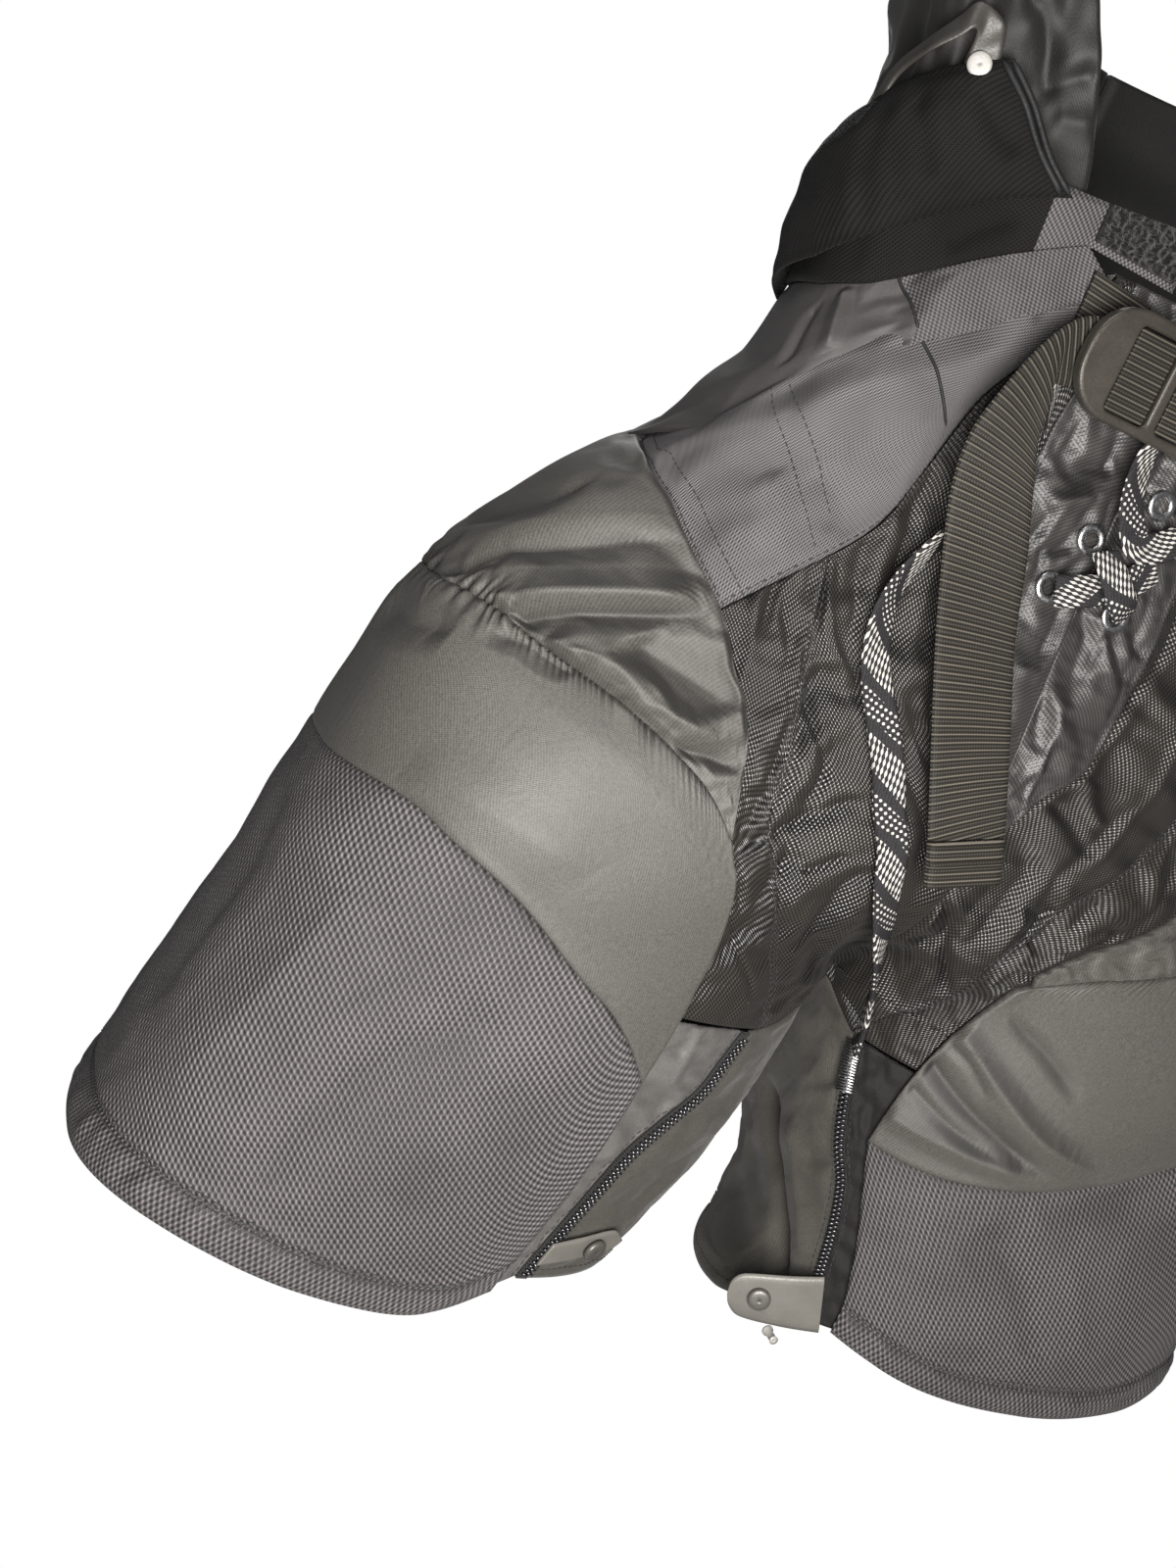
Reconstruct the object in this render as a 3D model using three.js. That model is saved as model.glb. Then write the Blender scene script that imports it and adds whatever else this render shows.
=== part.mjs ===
// Child's padded ice-hockey shorts, hanging open as on a waist.
// Millimetres. While drawing, heights are above the crotch and the front faces -Y; the wearer's right is -X.
// At the end the whole is moved so that the origin is the middle of the waist opening.
import * as THREE from 'three';

// Main sizes
const WAIST_HEIGHT = 250;
const WAIST_MIDDLE_DEPTH = 26;
const LEFT_LEG_LENGTH = 0.894;
const ROUNDNESS = 0.9;
const SEAM_GAP = 0.42;
const EXTRA_GAP = 0.4;
const CENTRE_GAP = 0.02;
const SIDE_SEAM = 128;
const INNER_BACK_SEAM = -135;
const CLOTH = 1.6;
const WEBBING_WIDTH = 25.4;
const WEBBING_THICKNESS = 1.6;
const LACE_WIDTH = 10;
const LACE_THICKNESS = 2;
const ZIP_HALF_ANGLE = 1.5;
const MM_PER_DEGREE = 1.65;
const DEGREES_BEHIND = 360;

// Cross-sections from hem to the top of the back: half width, depth to the front and back of the side line,
// half width of one leg, and the angles at which the front and back rise reach the middle
const SECTIONS = [
  { height: -135, out: 217, front: 58, back: 98, leg: 93, riseFront: 90, riseBack: 90 },
  { height: -60, out: 200, front: 61, back: 101, leg: 94, riseFront: 90, riseBack: 90 },
  { height: 0, out: 189.5, front: 62, back: 104, leg: 94.6, riseFront: 90, riseBack: 90 },
  { height: 30, out: 183, front: 62, back: 105, leg: 94.6, riseFront: 46, riseBack: 56 },
  { height: 60, out: 178, front: 59, back: 104, leg: 94.6, riseFront: 20, riseBack: 30 },
  { height: 110, out: 150, front: 52, back: 100, leg: 94.6, riseFront: 3, riseBack: 8 },
  { height: 150, out: 119, front: 46, back: 96, leg: 94.6, riseFront: 0, riseBack: 0 },
  { height: 190, out: 108, front: 42, back: 93, leg: 94.6, riseFront: 0, riseBack: 0 },
  { height: 250, out: 110, front: 38, back: 90, leg: 94.6, riseFront: 0, riseBack: 0 },
  { height: 335, out: 117, front: 36, back: 90, leg: 94.6, riseFront: 0, riseBack: 0 },
];

// Seams: each row is a station with its angle round the leg (0 front, 90 outer side, 180 back) and its height
const row = (angle, height) => ({ angle, height });
const SEAMS = {
  right: {
    hem: [row(-22, -121), row(-10, -133), row(10, -135), row(45, -132), row(90, -131), row(SIDE_SEAM, -130)],
    hemBandTop: [row(-21.5, -110), row(-11, -123), row(8, -124), row(34, -120), row(83, -116), row(SIDE_SEAM, -116)],
    thighTop: [row(-18, -41), row(-9, -28), row(1.5, -16), row(20, 1), row(39, 10), row(59, 15), row(101, 11),
      row(SIDE_SEAM, 7)],
    thighInner: [row(-21.5, -110), row(-21, -81), row(-19, -52), row(-18, -41)],
    puffSeam: [row(4.5, 41), row(16.5, 54), row(34.5, 65), row(54.5, 71), row(73.5, 74), row(100, 70),
      row(SIDE_SEAM, 66)],
    lowerPuffInner: [row(-18, -41), row(-17, -22), row(-15.5, -8), row(-12.5, 11), row(-2, 30), row(4.5, 41)],
    upperPuffTop: [row(6, 44), row(20, 73), row(29, 87), row(38.5, 101), row(57.5, 118), row(72.5, 126),
      row(104, 134), row(SIDE_SEAM, 136)],
    meshSplit: [row(-44, -18), row(-30, 7), row(-2, 40), row(14, 74), row(25, 104)],
    zip: [row(-38.5, -19.5), row(-38, -31), row(-37.5, -42), row(-33, -54), row(-29.5, -66), row(-28.5, -80),
      row(-28, -112)],
    crotchStart: row(-86, -5),
  },
  left: {
    hem: [row(-50, -128), row(-25, -134), row(0, -134), row(27, -126), row(60, -117), row(SIDE_SEAM, -118)],
    hemBandTop: [row(-48, -116), row(-22, -123), row(-4, -122), row(19, -116), row(52, -105), row(SIDE_SEAM, -106)],
    thighTop: [row(-53, -51), row(-41, -52), row(-28, -50), row(-12, -43), row(-1, -34), row(17, -17), row(45, 2),
      row(80, 11), row(SIDE_SEAM, 7)],
    thighInner: [row(-48, -116), row(-48.5, -92), row(-51, -68), row(-53, -51)],
    puffSeam: [row(-18.5, 28), row(-7.5, 35), row(12.5, 48), row(40, 64), row(75, 72), row(SIDE_SEAM, 66)],
    lowerPuffInner: [row(-53, -51), row(-48.5, -28), row(-44, -11), row(-37, 8), row(-26, 22), row(-18.5, 28)],
    upperPuffTop: [row(-17, 31), row(-6, 42), row(5, 54), row(16, 66), row(28, 84), row(38.5, 101), row(57.5, 118),
      row(72.5, 126), row(104, 134), row(SIDE_SEAM, 136)],
    meshSplit: [row(-69, -18), row(-56, -2), row(-36, 19), row(-12, 46), row(8, 74), row(22, 102)],
    zip: [row(-66, -19.5), row(-65.5, -32), row(-62, -58), row(-58, -73), row(-57, -92), row(-58, -113)],
    crotchStart: row(-86, -5),
  },
  both: {
    yokeTop: [row(15.5, 236), row(27.5, 221), row(37.5, 209), row(48.5, 198), row(67, 178), row(78, 165),
      row(96, 146), row(107, 138)],
    yokeInner: [row(32, 156), row(29, 187), row(20.5, 212), row(15.5, 236)],
    yokeBottom: [row(32, 156), row(32.2, 140), row(35, 122), row(38.5, 101)],
    flyEdge: [row(-17.5, 63.5), row(-9.5, 73), row(-2.5, 86), row(3.5, 100), row(10, 125), row(14, 150), row(15, 187),
      row(13, 212), row(12, 236)],
    waistbandLow: [row(22.5, 239), row(38, 225), row(49, 215), row(59.5, 207), row(73, 201), row(105, 196),
      row(SIDE_SEAM, 196), row(155, 201), row(179.8, 205)],
    waistbandTop: [row(6, 256), row(25, 252), row(60, 250), row(SIDE_SEAM, 250), row(155, 252), row(179.8, 254)],
    flapBottom: [row(29.5, 248), row(42.5, 239), row(54, 228), row(73.5, 213), row(105, 196), row(124, 190)],
    flapTop: [row(51, 275), row(69, 264), row(91, 254), row(106, 248), row(124, 244)],
    flapFront: [row(29.5, 248), row(36, 255), row(43, 266), row(51, 275)],
    padBottom: [row(25, 247), row(38, 232), row(59.5, 215), row(80, 207), row(SIDE_SEAM, 203), row(179.8, 212)],
    padTop: [row(46, 318), row(60, 322), row(90, 323), row(120, 319), row(150, 312), row(179.8, 308)],
    padFront: [row(25, 247), row(29, 269), row(39, 300), row(46, 318)],
    gussetTop: [row(-88, -6), row(-94, -8), row(-110, -8), row(INNER_BACK_SEAM, -8)],
  },
};
const YOKE_CORNER = 38.5;
const YOKE_TIP = 104;
const SPLIT_HEIGHT = 128;
const SEAT_LOW = -6;
const BACK_THIGH_TOP = -8;
const BACK_HEM = -117;
const FLY_LOW = 62;
const FLY_HIGH = 236;

// Padding: depth of the seams, height of the outside in the middle, and the inside at the edge and in the middle
const PADS = {
  band: { seam: -0.8, crown: 0.8, edge: -4, inside: -4.5, rim: 0.5 },
  thigh: { seam: -2, crown: 1.6, edge: -4.5, inside: -14, rim: 0.22 },
  puff: { seam: -3.5, crown: 2.4, edge: -5.5, inside: -13, rim: 0.3 },
  yoke: { seam: -2.5, crown: 0.5, edge: -4.5, inside: -11, rim: 0.25 },
  mesh: { seam: -3, crown: -2, edge: -4.8, inside: -4.4, rim: 0.4 },
  fly: { seam: -1.6, crown: -0.4, edge: -3.4, inside: -3, rim: 0.4 },
  satin: { seam: -4, crown: -2.4, edge: -5.6, inside: -4.6, rim: 0.4 },
  waistband: { seam: -1.8, crown: -0.6, edge: -3.6, inside: -3.6, rim: 0.5 },
  flap: { seam: 1, crown: 5.6, edge: -1, inside: -0.6, rim: 0.35 },
  kidney: { seam: -5.5, crown: -4.4, edge: -9, inside: -15, rim: 0.25 },
  back: { seam: -3, crown: -1.5, edge: -5, inside: -6, rim: 0.3 },
  lycra: { seam: -2.8, crown: -2, edge: -4.4, inside: -3.8, rim: 0.4 },
  facing: { seam: -3.4, crown: -3, edge: -5.2, inside: -5, rim: 0.5 },
  zip: { seam: -2.2, crown: -1.4, edge: -4, inside: -4, rim: 0.5 },
  belt: { seam: 1, crown: 1.1, edge: -0.6, inside: -0.6, rim: 0.5 },
  patch: { seam: 0.6, crown: 1, edge: -1.3, inside: -1.3, rim: 0.5 },
};
const KIDNEY_CHANNELS = [44, 62, 92, 122, 150];
const CHANNEL_HALF_WIDTH = 7;
const CHANNEL_DEPTH = 2.6;

// Where cloth stands off the shell: how far, and the angles and heights between which it comes and goes
const STANDS = {
  flapFront: { lift: 6.2, from: 124, to: 100 },
  padFlare: { lift: 5, from: 264, to: 292 },
  satinRoll: { lift: 6, from: 84, to: 104, high: 176, low: 150 },
  linerRight: { lift: 4, from: -60, to: -115, middle: -85, reach: 45 },
  linerLeft: { lift: 15, from: -45, to: -125, middle: -82, reach: 48 },
};
const ease = THREE.MathUtils.smootherstep;
const between = (x, from, to) => (from < to ? ease(x, from, to) : 1 - ease(x, to, from));

// Colours read by eye from the photo
const cloth = (color, roughness) => new THREE.MeshStandardMaterial({ color, roughness, metalness: 0 });
const COARSE = cloth(0x22222a, 0.85);
const NYLON = cloth(0x37352f, 0.55);
const OXFORD = cloth(0x262932, 0.8);
const MESH = cloth(0x1f1d1a, 0.5);
const SATIN = cloth(0x1d1e22, 0.45);
const BLACK_WEAVE = cloth(0x17171b, 0.85);
const STRETCH = cloth(0x24231f, 0.8);
const WEBBING = cloth(0x2a2822, 0.7);
const LACE = cloth(0x55534f, 0.8);
const VINYL = cloth(0x45464a, 0.45);
const FUZZ = cloth(0x121214, 0.95);
const PLASTIC = new THREE.MeshStandardMaterial({ color: 0x55534f, roughness: 0.42, metalness: 0 });
const ZIPPER = new THREE.MeshStandardMaterial({ color: 0x2b2b2c, roughness: 0.5, metalness: 0 });
const METAL = new THREE.MeshStandardMaterial({ color: 0xb9babd, roughness: 0.28, metalness: 1 });

const group = new THREE.Group();
const RIGHT = -1;
const LEFT = 1;

function add(name, geometry, material) {
  const mesh = new THREE.Mesh(geometry, material);
  mesh.name = name;
  group.add(mesh);
}

// A smooth value through a table's column
function slope(rows, key, value, i) {
  const last = rows.length - 1;
  if (i === 0) return (rows[1][value] - rows[0][value]) / (rows[1][key] - rows[0][key]);
  if (i === last) return (rows[last][value] - rows[last - 1][value]) / (rows[last][key] - rows[last - 1][key]);
  const before = rows[i][key] - rows[i - 1][key];
  const after = rows[i + 1][key] - rows[i][key];
  const low = (rows[i][value] - rows[i - 1][value]) / before;
  const high = (rows[i + 1][value] - rows[i][value]) / after;
  return (low * after + high * before) / (before + after);
}

function column(rows, key, value, at) {
  const x = THREE.MathUtils.clamp(at, rows[0][key], rows[rows.length - 1][key]);
  let i = 0;
  while (i < rows.length - 2 && x >= rows[i + 1][key]) i += 1;
  const h = rows[i + 1][key] - rows[i][key];
  const u = (x - rows[i][key]) / h;
  const a = (2 * u ** 3 - 3 * u ** 2 + 1) * rows[i][value];
  const b = (u ** 3 - 2 * u ** 2 + u) * h * slope(rows, key, value, i);
  const c = (3 * u ** 2 - 2 * u ** 3) * rows[i + 1][value];
  const d = (u ** 3 - u ** 2) * h * slope(rows, key, value, i + 1);
  return a + b + c + d;
}

const section = (value, height) => column(SECTIONS, 'height', value, height);
const signedPower = (v) => Math.sign(v) * Math.abs(v) ** ROUNDNESS;

function riseAngle(key, height) {
  return THREE.MathUtils.clamp(section(key, height), 0, 90);
}

// The shell: a point at an angle round one side and a height
function shell(side, angle, height) {
  const turn = THREE.MathUtils.degToRad(angle);
  const ahead = Math.cos(turn) > 0;
  const out = section('out', height);
  const rise = THREE.MathUtils.degToRad(riseAngle(ahead ? 'riseFront' : 'riseBack', height));
  const half = height > 0 ? out / (1 + signedPower(Math.sin(rise))) : section('leg', height);
  const depth = section(ahead ? 'front' : 'back', height);
  const z = height < 0 && side === LEFT ? height * LEFT_LEG_LENGTH : height;
  const x = Math.max(out - half + half * signedPower(Math.sin(turn)), CENTRE_GAP);
  return new THREE.Vector3(side * x, -depth * signedPower(Math.cos(turn)), z);
}

function outward(side, angle, height) {
  const step = 0.4;
  const round = shell(side, angle + step, height).sub(shell(side, angle - step, height));
  const up = shell(side, angle, height + step).sub(shell(side, angle, height - step));
  return round.cross(up).multiplyScalar(side).normalize();
}

const lifted = (side, angle, height, lift) =>
  shell(side, angle, height).addScaledVector(outward(side, angle, height), lift);

// Curves over angle and height, each a function from 0 to 1
function spline(rows) {
  const curve = new THREE.SplineCurve(rows.map((r) => new THREE.Vector2(r.angle * MM_PER_DEGREE, r.height)));
  return (t) => {
    const p = curve.getPointAt(THREE.MathUtils.clamp(t, 0, 1));
    return row(p.x / MM_PER_DEGREE, p.y);
  };
}

const line = (a, b) => (t) => row(a.angle + (b.angle - a.angle) * t, a.height + (b.height - a.height) * t);
const part = (curve, from, to) => (t) => curve(from + (to - from) * t);
const shifted = (curve, angle, height) => (t) => row(curve(t).angle + angle, curve(t).height + height);

// The place along a curve where its angle or height passes a value
function station(curve, key, value) {
  let low = 0;
  let high = 1;
  const rising = curve(1)[key] > curve(0)[key];
  for (let k = 0; k < 40; k += 1) {
    const middle = (low + high) / 2;
    if ((curve(middle)[key] < value) === rising) low = middle;
    else high = middle;
  }
  return (low + high) / 2;
}

const flatLength = (a, b) => Math.hypot((a.angle - b.angle) * MM_PER_DEGREE, a.height - b.height);

function joined(...curves) {
  const steps = 30;
  const points = [];
  for (const curve of curves) {
    for (let k = 0; k <= steps; k += 1) points.push(curve(k / steps));
  }
  const along = [0];
  for (let k = 1; k < points.length; k += 1) along.push(along[k - 1] + flatLength(points[k], points[k - 1]));
  const total = along[along.length - 1];
  return (t) => {
    const want = THREE.MathUtils.clamp(t, 0, 1) * total;
    let k = 1;
    while (k < points.length - 1 && along[k] < want) k += 1;
    const span = along[k] - along[k - 1];
    const share = span > 0 ? (want - along[k - 1]) / span : 0;
    return line(points[k - 1], points[k])(share);
  };
}

// A four-sided patch between its edges
function patch(edges, u, v) {
  const [b, t, i, o] = [edges.bottom(u), edges.top(u), edges.inner(v), edges.outer(v)];
  const corners = [edges.bottom(0), edges.bottom(1), edges.top(0), edges.top(1)];
  const mix = (key) => (1 - v) * b[key] + v * t[key] + (1 - u) * i[key] + u * o[key]
    - (1 - u) * (1 - v) * corners[0][key] - u * (1 - v) * corners[1][key]
    - (1 - u) * v * corners[2][key] - u * v * corners[3][key];
  return row(mix('angle'), mix('height'));
}

// One closed solid between an outer and an inner grid of points
function solid(outer, inner) {
  const rows = outer.length;
  const columns = outer[0].length;
  const points = [...outer.flat(), ...inner.flat()];
  const at = (layer, i, j) => layer * rows * columns + i * columns + j;
  const faces = [];
  const quad = (a, b, c, d) => faces.push(a, b, c, a, c, d);
  for (let i = 0; i < rows - 1; i += 1) {
    for (let j = 0; j < columns - 1; j += 1) {
      quad(at(0, i, j), at(0, i, j + 1), at(0, i + 1, j + 1), at(0, i + 1, j));
      quad(at(1, i, j), at(1, i + 1, j), at(1, i + 1, j + 1), at(1, i, j + 1));
    }
  }
  for (let j = 0; j < columns - 1; j += 1) {
    quad(at(0, 0, j + 1), at(0, 0, j), at(1, 0, j), at(1, 0, j + 1));
    quad(at(0, rows - 1, j), at(0, rows - 1, j + 1), at(1, rows - 1, j + 1), at(1, rows - 1, j));
  }
  for (let i = 0; i < rows - 1; i += 1) {
    quad(at(0, i, 0), at(0, i + 1, 0), at(1, i + 1, 0), at(1, i, 0));
    quad(at(0, i + 1, columns - 1), at(0, i, columns - 1), at(1, i, columns - 1), at(1, i + 1, columns - 1));
  }
  let volume = 0;
  for (let k = 0; k < faces.length; k += 3) {
    const [a, b, c] = [points[faces[k]], points[faces[k + 1]], points[faces[k + 2]]];
    volume += a.dot(b.clone().cross(c));
  }
  if (volume < 0) {
    for (let k = 0; k < faces.length; k += 3) [faces[k + 1], faces[k + 2]] = [faces[k + 2], faces[k + 1]];
  }
  const geometry = new THREE.BufferGeometry();
  geometry.setAttribute('position', new THREE.Float32BufferAttribute(points.flatMap((p) => [p.x, p.y, p.z]), 3));
  geometry.setIndex(faces);
  geometry.computeVertexNormals();
  return geometry;
}

// Grid stations drawn closer together at the edges
const stations = (count) => Array.from({ length: count + 1 }, (_, k) => {
  const t = k / count;
  return count < 4 ? t : 0.5 * t + 0.5 * (0.5 - 0.5 * Math.cos(Math.PI * t));
});

const swell = (t, rim) => THREE.MathUtils.smoothstep(Math.min(t, 1 - t), 0, rim);

// Draws the edge of a grid in by half the gap between neighbours, square to the edge
function drawnIn(grid) {
  const rows = grid.length;
  const columns = grid[0].length;
  const inset = (i, j, di, dj) => {
    const along = di === 0
      ? grid[Math.min(i + 1, rows - 1)][j].clone().sub(grid[Math.max(i - 1, 0)][j])
      : grid[i][Math.min(j + 1, columns - 1)].clone().sub(grid[i][Math.max(j - 1, 0)]);
    along.normalize();
    const inwards = grid[i + di][j + dj].clone().sub(grid[i][j]);
    inwards.addScaledVector(along, -inwards.dot(along));
    return inwards.normalize().multiplyScalar(SEAM_GAP);
  };
  return grid.map((points, i) => points.map((p, j) => {
    const moved = p.clone();
    if (i === 0) moved.add(inset(i, j, 1, 0));
    if (i === rows - 1) moved.add(inset(i, j, -1, 0));
    if (j === 0) moved.add(inset(i, j, 0, 1));
    if (j === columns - 1) moved.add(inset(i, j, 0, -1));
    return moved;
  }));
}

const sideName = (side) => (side === RIGHT ? 'right' : 'left');
const none = () => 0;

function panel(name, material, side, edges, [across, up], pad, { groove = none, stand = none } = {}) {
  const outer = [];
  const inner = [];
  for (const v of stations(up)) {
    const outerRow = [];
    const innerRow = [];
    for (const u of stations(across)) {
      const { angle, height } = patch(edges, u, v);
      const full = swell(u, pad.rim) * swell(v, pad.rim);
      const off = stand(angle, height);
      const outside = pad.seam + (pad.crown - pad.seam) * full - groove(angle) * full;
      const inside = pad.edge + (pad.inside - pad.edge) * full;
      outerRow.push(lifted(side, angle, height, outside + off));
      innerRow.push(lifted(side, angle, height, inside + off));
    }
    outer.push(outerRow);
    inner.push(innerRow);
  }
  add(`${name}_${sideName(side)}`, solid(drawnIn(outer), drawnIn(inner)), material);
}

const endLine = (a, b, t) => line(a(t), b(t));
const channelGroove = (angle) => KIDNEY_CHANNELS.reduce((deep, at) =>
  Math.max(deep, CHANNEL_DEPTH * (1 - THREE.MathUtils.smoothstep(Math.abs(angle - at), 0, CHANNEL_HALF_WIDTH))), 0);

const flapStand = (angle) => STANDS.flapFront.lift * between(angle, STANDS.flapFront.from, STANDS.flapFront.to);
const padStand = (_, height) => STANDS.padFlare.lift * between(height, STANDS.padFlare.from, STANDS.padFlare.to);
const satinStand = (angle, height) => STANDS.satinRoll.lift
  * between(angle, STANDS.satinRoll.from, STANDS.satinRoll.to)
  * between(height, STANDS.satinRoll.high, STANDS.satinRoll.low);
const linerStand = (liner) => (angle, height) => {
  const aside = Math.min(1, Math.abs(angle - liner.middle) / liner.reach);
  return liner.lift * between(height, liner.from, liner.to) * (1 - ease(aside, 0, 1));
};

// The curves where the front and back rise lie on the middle
const frontRise = (low, high) => (t) => {
  const height = low + (high - low) * t;
  return row(-riseAngle('riseFront', height), height);
};
const backRise = (low, high) => (t) => {
  const height = low + (high - low) * t;
  return row(180 + riseAngle('riseBack', height), height);
};

// All panels of one side
function buildSide(side) {
  const own = SEAMS[sideName(side)];
  const s = {};
  for (const [key, rows] of Object.entries({ ...own, ...SEAMS.both })) {
    if (Array.isArray(rows)) s[key] = spline(rows);
  }

  // Thigh, from the hem to the yoke
  panel('hem_band', COARSE, side, { bottom: s.hem, top: s.hemBandTop,
    inner: endLine(s.hem, s.hemBandTop, 0), outer: endLine(s.hem, s.hemBandTop, 1) }, [14, 2], PADS.band);
  panel('thigh_panel', COARSE, side, { bottom: s.hemBandTop, top: s.thighTop,
    inner: s.thighInner, outer: endLine(s.hemBandTop, s.thighTop, 1) }, [12, 5], PADS.thigh);
  panel('lower_puff', NYLON, side, { bottom: s.thighTop, top: s.puffSeam,
    inner: s.lowerPuffInner, outer: endLine(s.thighTop, s.puffSeam, 1) }, [13, 5], PADS.puff);
  panel('upper_puff', NYLON, side, { bottom: s.puffSeam, top: s.upperPuffTop,
    inner: endLine(s.puffSeam, s.upperPuffTop, 0), outer: endLine(s.puffSeam, s.upperPuffTop, 1) }, [13, 4], PADS.puff);
  const corner = station(s.upperPuffTop, 'angle', YOKE_CORNER);
  const tip = station(s.upperPuffTop, 'angle', YOKE_TIP);
  const yokeOuter = joined(part(s.upperPuffTop, corner, tip), line(s.upperPuffTop(tip), s.yokeTop(1)));
  panel('yoke', OXFORD, side, { bottom: s.yokeBottom, top: s.yokeTop, inner: s.yokeInner, outer: yokeOuter },
    [14, 8], PADS.yoke);

  // Waist
  const tipEnd = s.upperPuffTop(1);
  const satinLow = shifted(joined(s.yokeTop, line(s.yokeTop(1), row(SIDE_SEAM, tipEnd.height + 2))), 0, EXTRA_GAP);
  const sideAtBand = station(s.waistbandLow, 'angle', SIDE_SEAM);
  const satinHigh = part(s.waistbandLow, 0, sideAtBand);
  panel('waist_panel', SATIN, side, { bottom: satinLow, top: satinHigh,
    inner: endLine(satinLow, satinHigh, 0), outer: endLine(satinLow, satinHigh, 1) }, [20, 3], PADS.satin,
    { stand: satinStand });
  const bandLow = joined(line(row(6, FLY_HIGH + 2), s.waistbandLow(0)), s.waistbandLow);
  panel('waistband', BLACK_WEAVE, side, { bottom: bandLow, top: s.waistbandTop,
    inner: endLine(bandLow, s.waistbandTop, 0), outer: endLine(bandLow, s.waistbandTop, 1) }, [18, 2], PADS.waistband);
  panel('hip_flap', BLACK_WEAVE, side, { bottom: s.flapBottom, top: s.flapTop,
    inner: s.flapFront, outer: endLine(s.flapBottom, s.flapTop, 1) }, [10, 5], PADS.flap, { stand: flapStand });
  panel('kidney_pad', NYLON, side, { bottom: s.padBottom, top: s.padTop,
    inner: s.padFront, outer: endLine(s.padBottom, s.padTop, 1) }, [18, 5], PADS.kidney,
    { groove: channelGroove, stand: padStand });

  // Inner front of the leg and the fly
  const strip = joined(part(s.lowerPuffInner, station(s.lowerPuffInner, 'height', -18), 1),
    part(s.upperPuffTop, 0, corner));
  const stripOuter = shifted(strip, -EXTRA_GAP, 0);
  const splitOnYoke = station(s.yokeBottom, 'height', SPLIT_HEIGHT);
  const meshSplit = spline([...own.meshSplit, s.yokeBottom(splitOnYoke)]);
  panel('mesh_strip', MESH, side, { bottom: line(meshSplit(0), stripOuter(0)), top: (t) => row(part(s.yokeBottom, splitOnYoke, 1)(t).angle - EXTRA_GAP * t,
      part(s.yokeBottom, splitOnYoke, 1)(t).height),
    inner: meshSplit, outer: stripOuter }, [3, 16], PADS.mesh);
  const meshOuter = joined(meshSplit, shifted(joined(part(s.yokeBottom, splitOnYoke, 0), s.yokeInner), -EXTRA_GAP, 0));
  const meshInner = joined(line(own.crotchStart, frontRise(2, FLY_LOW)(0)), frontRise(2, FLY_LOW), s.flyEdge);
  panel('front_mesh', MESH, side, { bottom: endLine(meshInner, meshOuter, 0), top: endLine(meshInner, meshOuter, 1),
    inner: meshInner, outer: meshOuter }, [3, 30], PADS.mesh);
  const centre = frontRise(FLY_LOW, FLY_HIGH);
  panel('fly', NYLON, side, { bottom: endLine(centre, s.flyEdge, 0), top: endLine(centre, s.flyEdge, 1),
    inner: centre, outer: s.flyEdge }, [3, 12], PADS.fly);

  // Inner thigh
  const facingOuter = joined(s.thighInner, part(s.lowerPuffInner, 0, station(s.lowerPuffInner, 'height', -20)));
  const zipUp = (t) => s.zip(1 - t);
  const facingInner = shifted(zipUp, ZIP_HALF_ANGLE, 0);
  panel('side_facing', SATIN, side, { bottom: endLine(facingInner, facingOuter, 0),
    top: endLine(facingInner, facingOuter, 1), inner: facingInner, outer: facingOuter }, [2, 8], PADS.facing);
  const zipInner = shifted(zipUp, -ZIP_HALF_ANGLE, 0);
  panel('zip', ZIPPER, side, { bottom: endLine(zipInner, facingInner, 0), top: endLine(zipInner, facingInner, 1),
    inner: zipInner, outer: facingInner }, [1, 8], PADS.zip);
  const crotchEdge = joined(line(zipInner(1), row(own.crotchStart.angle, own.crotchStart.height - 1)), s.gussetTop);
  const gussetLow = line(zipInner(0), row(INNER_BACK_SEAM, BACK_HEM));
  panel('gusset', STRETCH, side, { bottom: gussetLow, top: crotchEdge,
    inner: zipInner, outer: endLine(gussetLow, crotchEdge, 1) }, [8, 7], PADS.lycra,
    { stand: linerStand(side === RIGHT ? STANDS.linerRight : STANDS.linerLeft) });

  // Plain back
  const backInner = INNER_BACK_SEAM + DEGREES_BEHIND;
  const backLow = line(row(SIDE_SEAM, BACK_HEM), row(backInner, BACK_HEM));
  const backHigh = line(row(SIDE_SEAM, BACK_THIGH_TOP), row(backInner, BACK_THIGH_TOP));
  panel('back_thigh', STRETCH, side, { bottom: backLow, top: backHigh,
    inner: endLine(backLow, backHigh, 0), outer: endLine(backLow, backHigh, 1) }, [7, 4], PADS.back);
  const seatTop = s.waistbandLow(1).height;
  const seatInner = joined(line(row(268, SEAT_LOW), backRise(2, seatTop)(0)), backRise(2, seatTop));
  const seatHigh = part(s.waistbandLow, sideAtBand, 1);
  const seatLow = line(row(SIDE_SEAM, SEAT_LOW), row(268, SEAT_LOW));
  panel('seat', BLACK_WEAVE, side, { bottom: seatLow, top: seatHigh,
    inner: endLine(seatLow, seatHigh, 0), outer: seatInner }, [8, 7], PADS.back);
}

buildSide(RIGHT);
buildSide(LEFT);

// Places a shape drawn flat, with its own Z standing out of the shell
function seated(geometry, side, angle, height, lift) {
  const out = outward(side, angle, height);
  const up = new THREE.Vector3(0, 0, 1).addScaledVector(out, -out.z).normalize();
  const across = up.clone().cross(out);
  const frame = new THREE.Matrix4().makeBasis(across, up, out);
  frame.setPosition(lifted(side, angle, height, lift));
  return geometry.applyMatrix4(frame);
}

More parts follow.
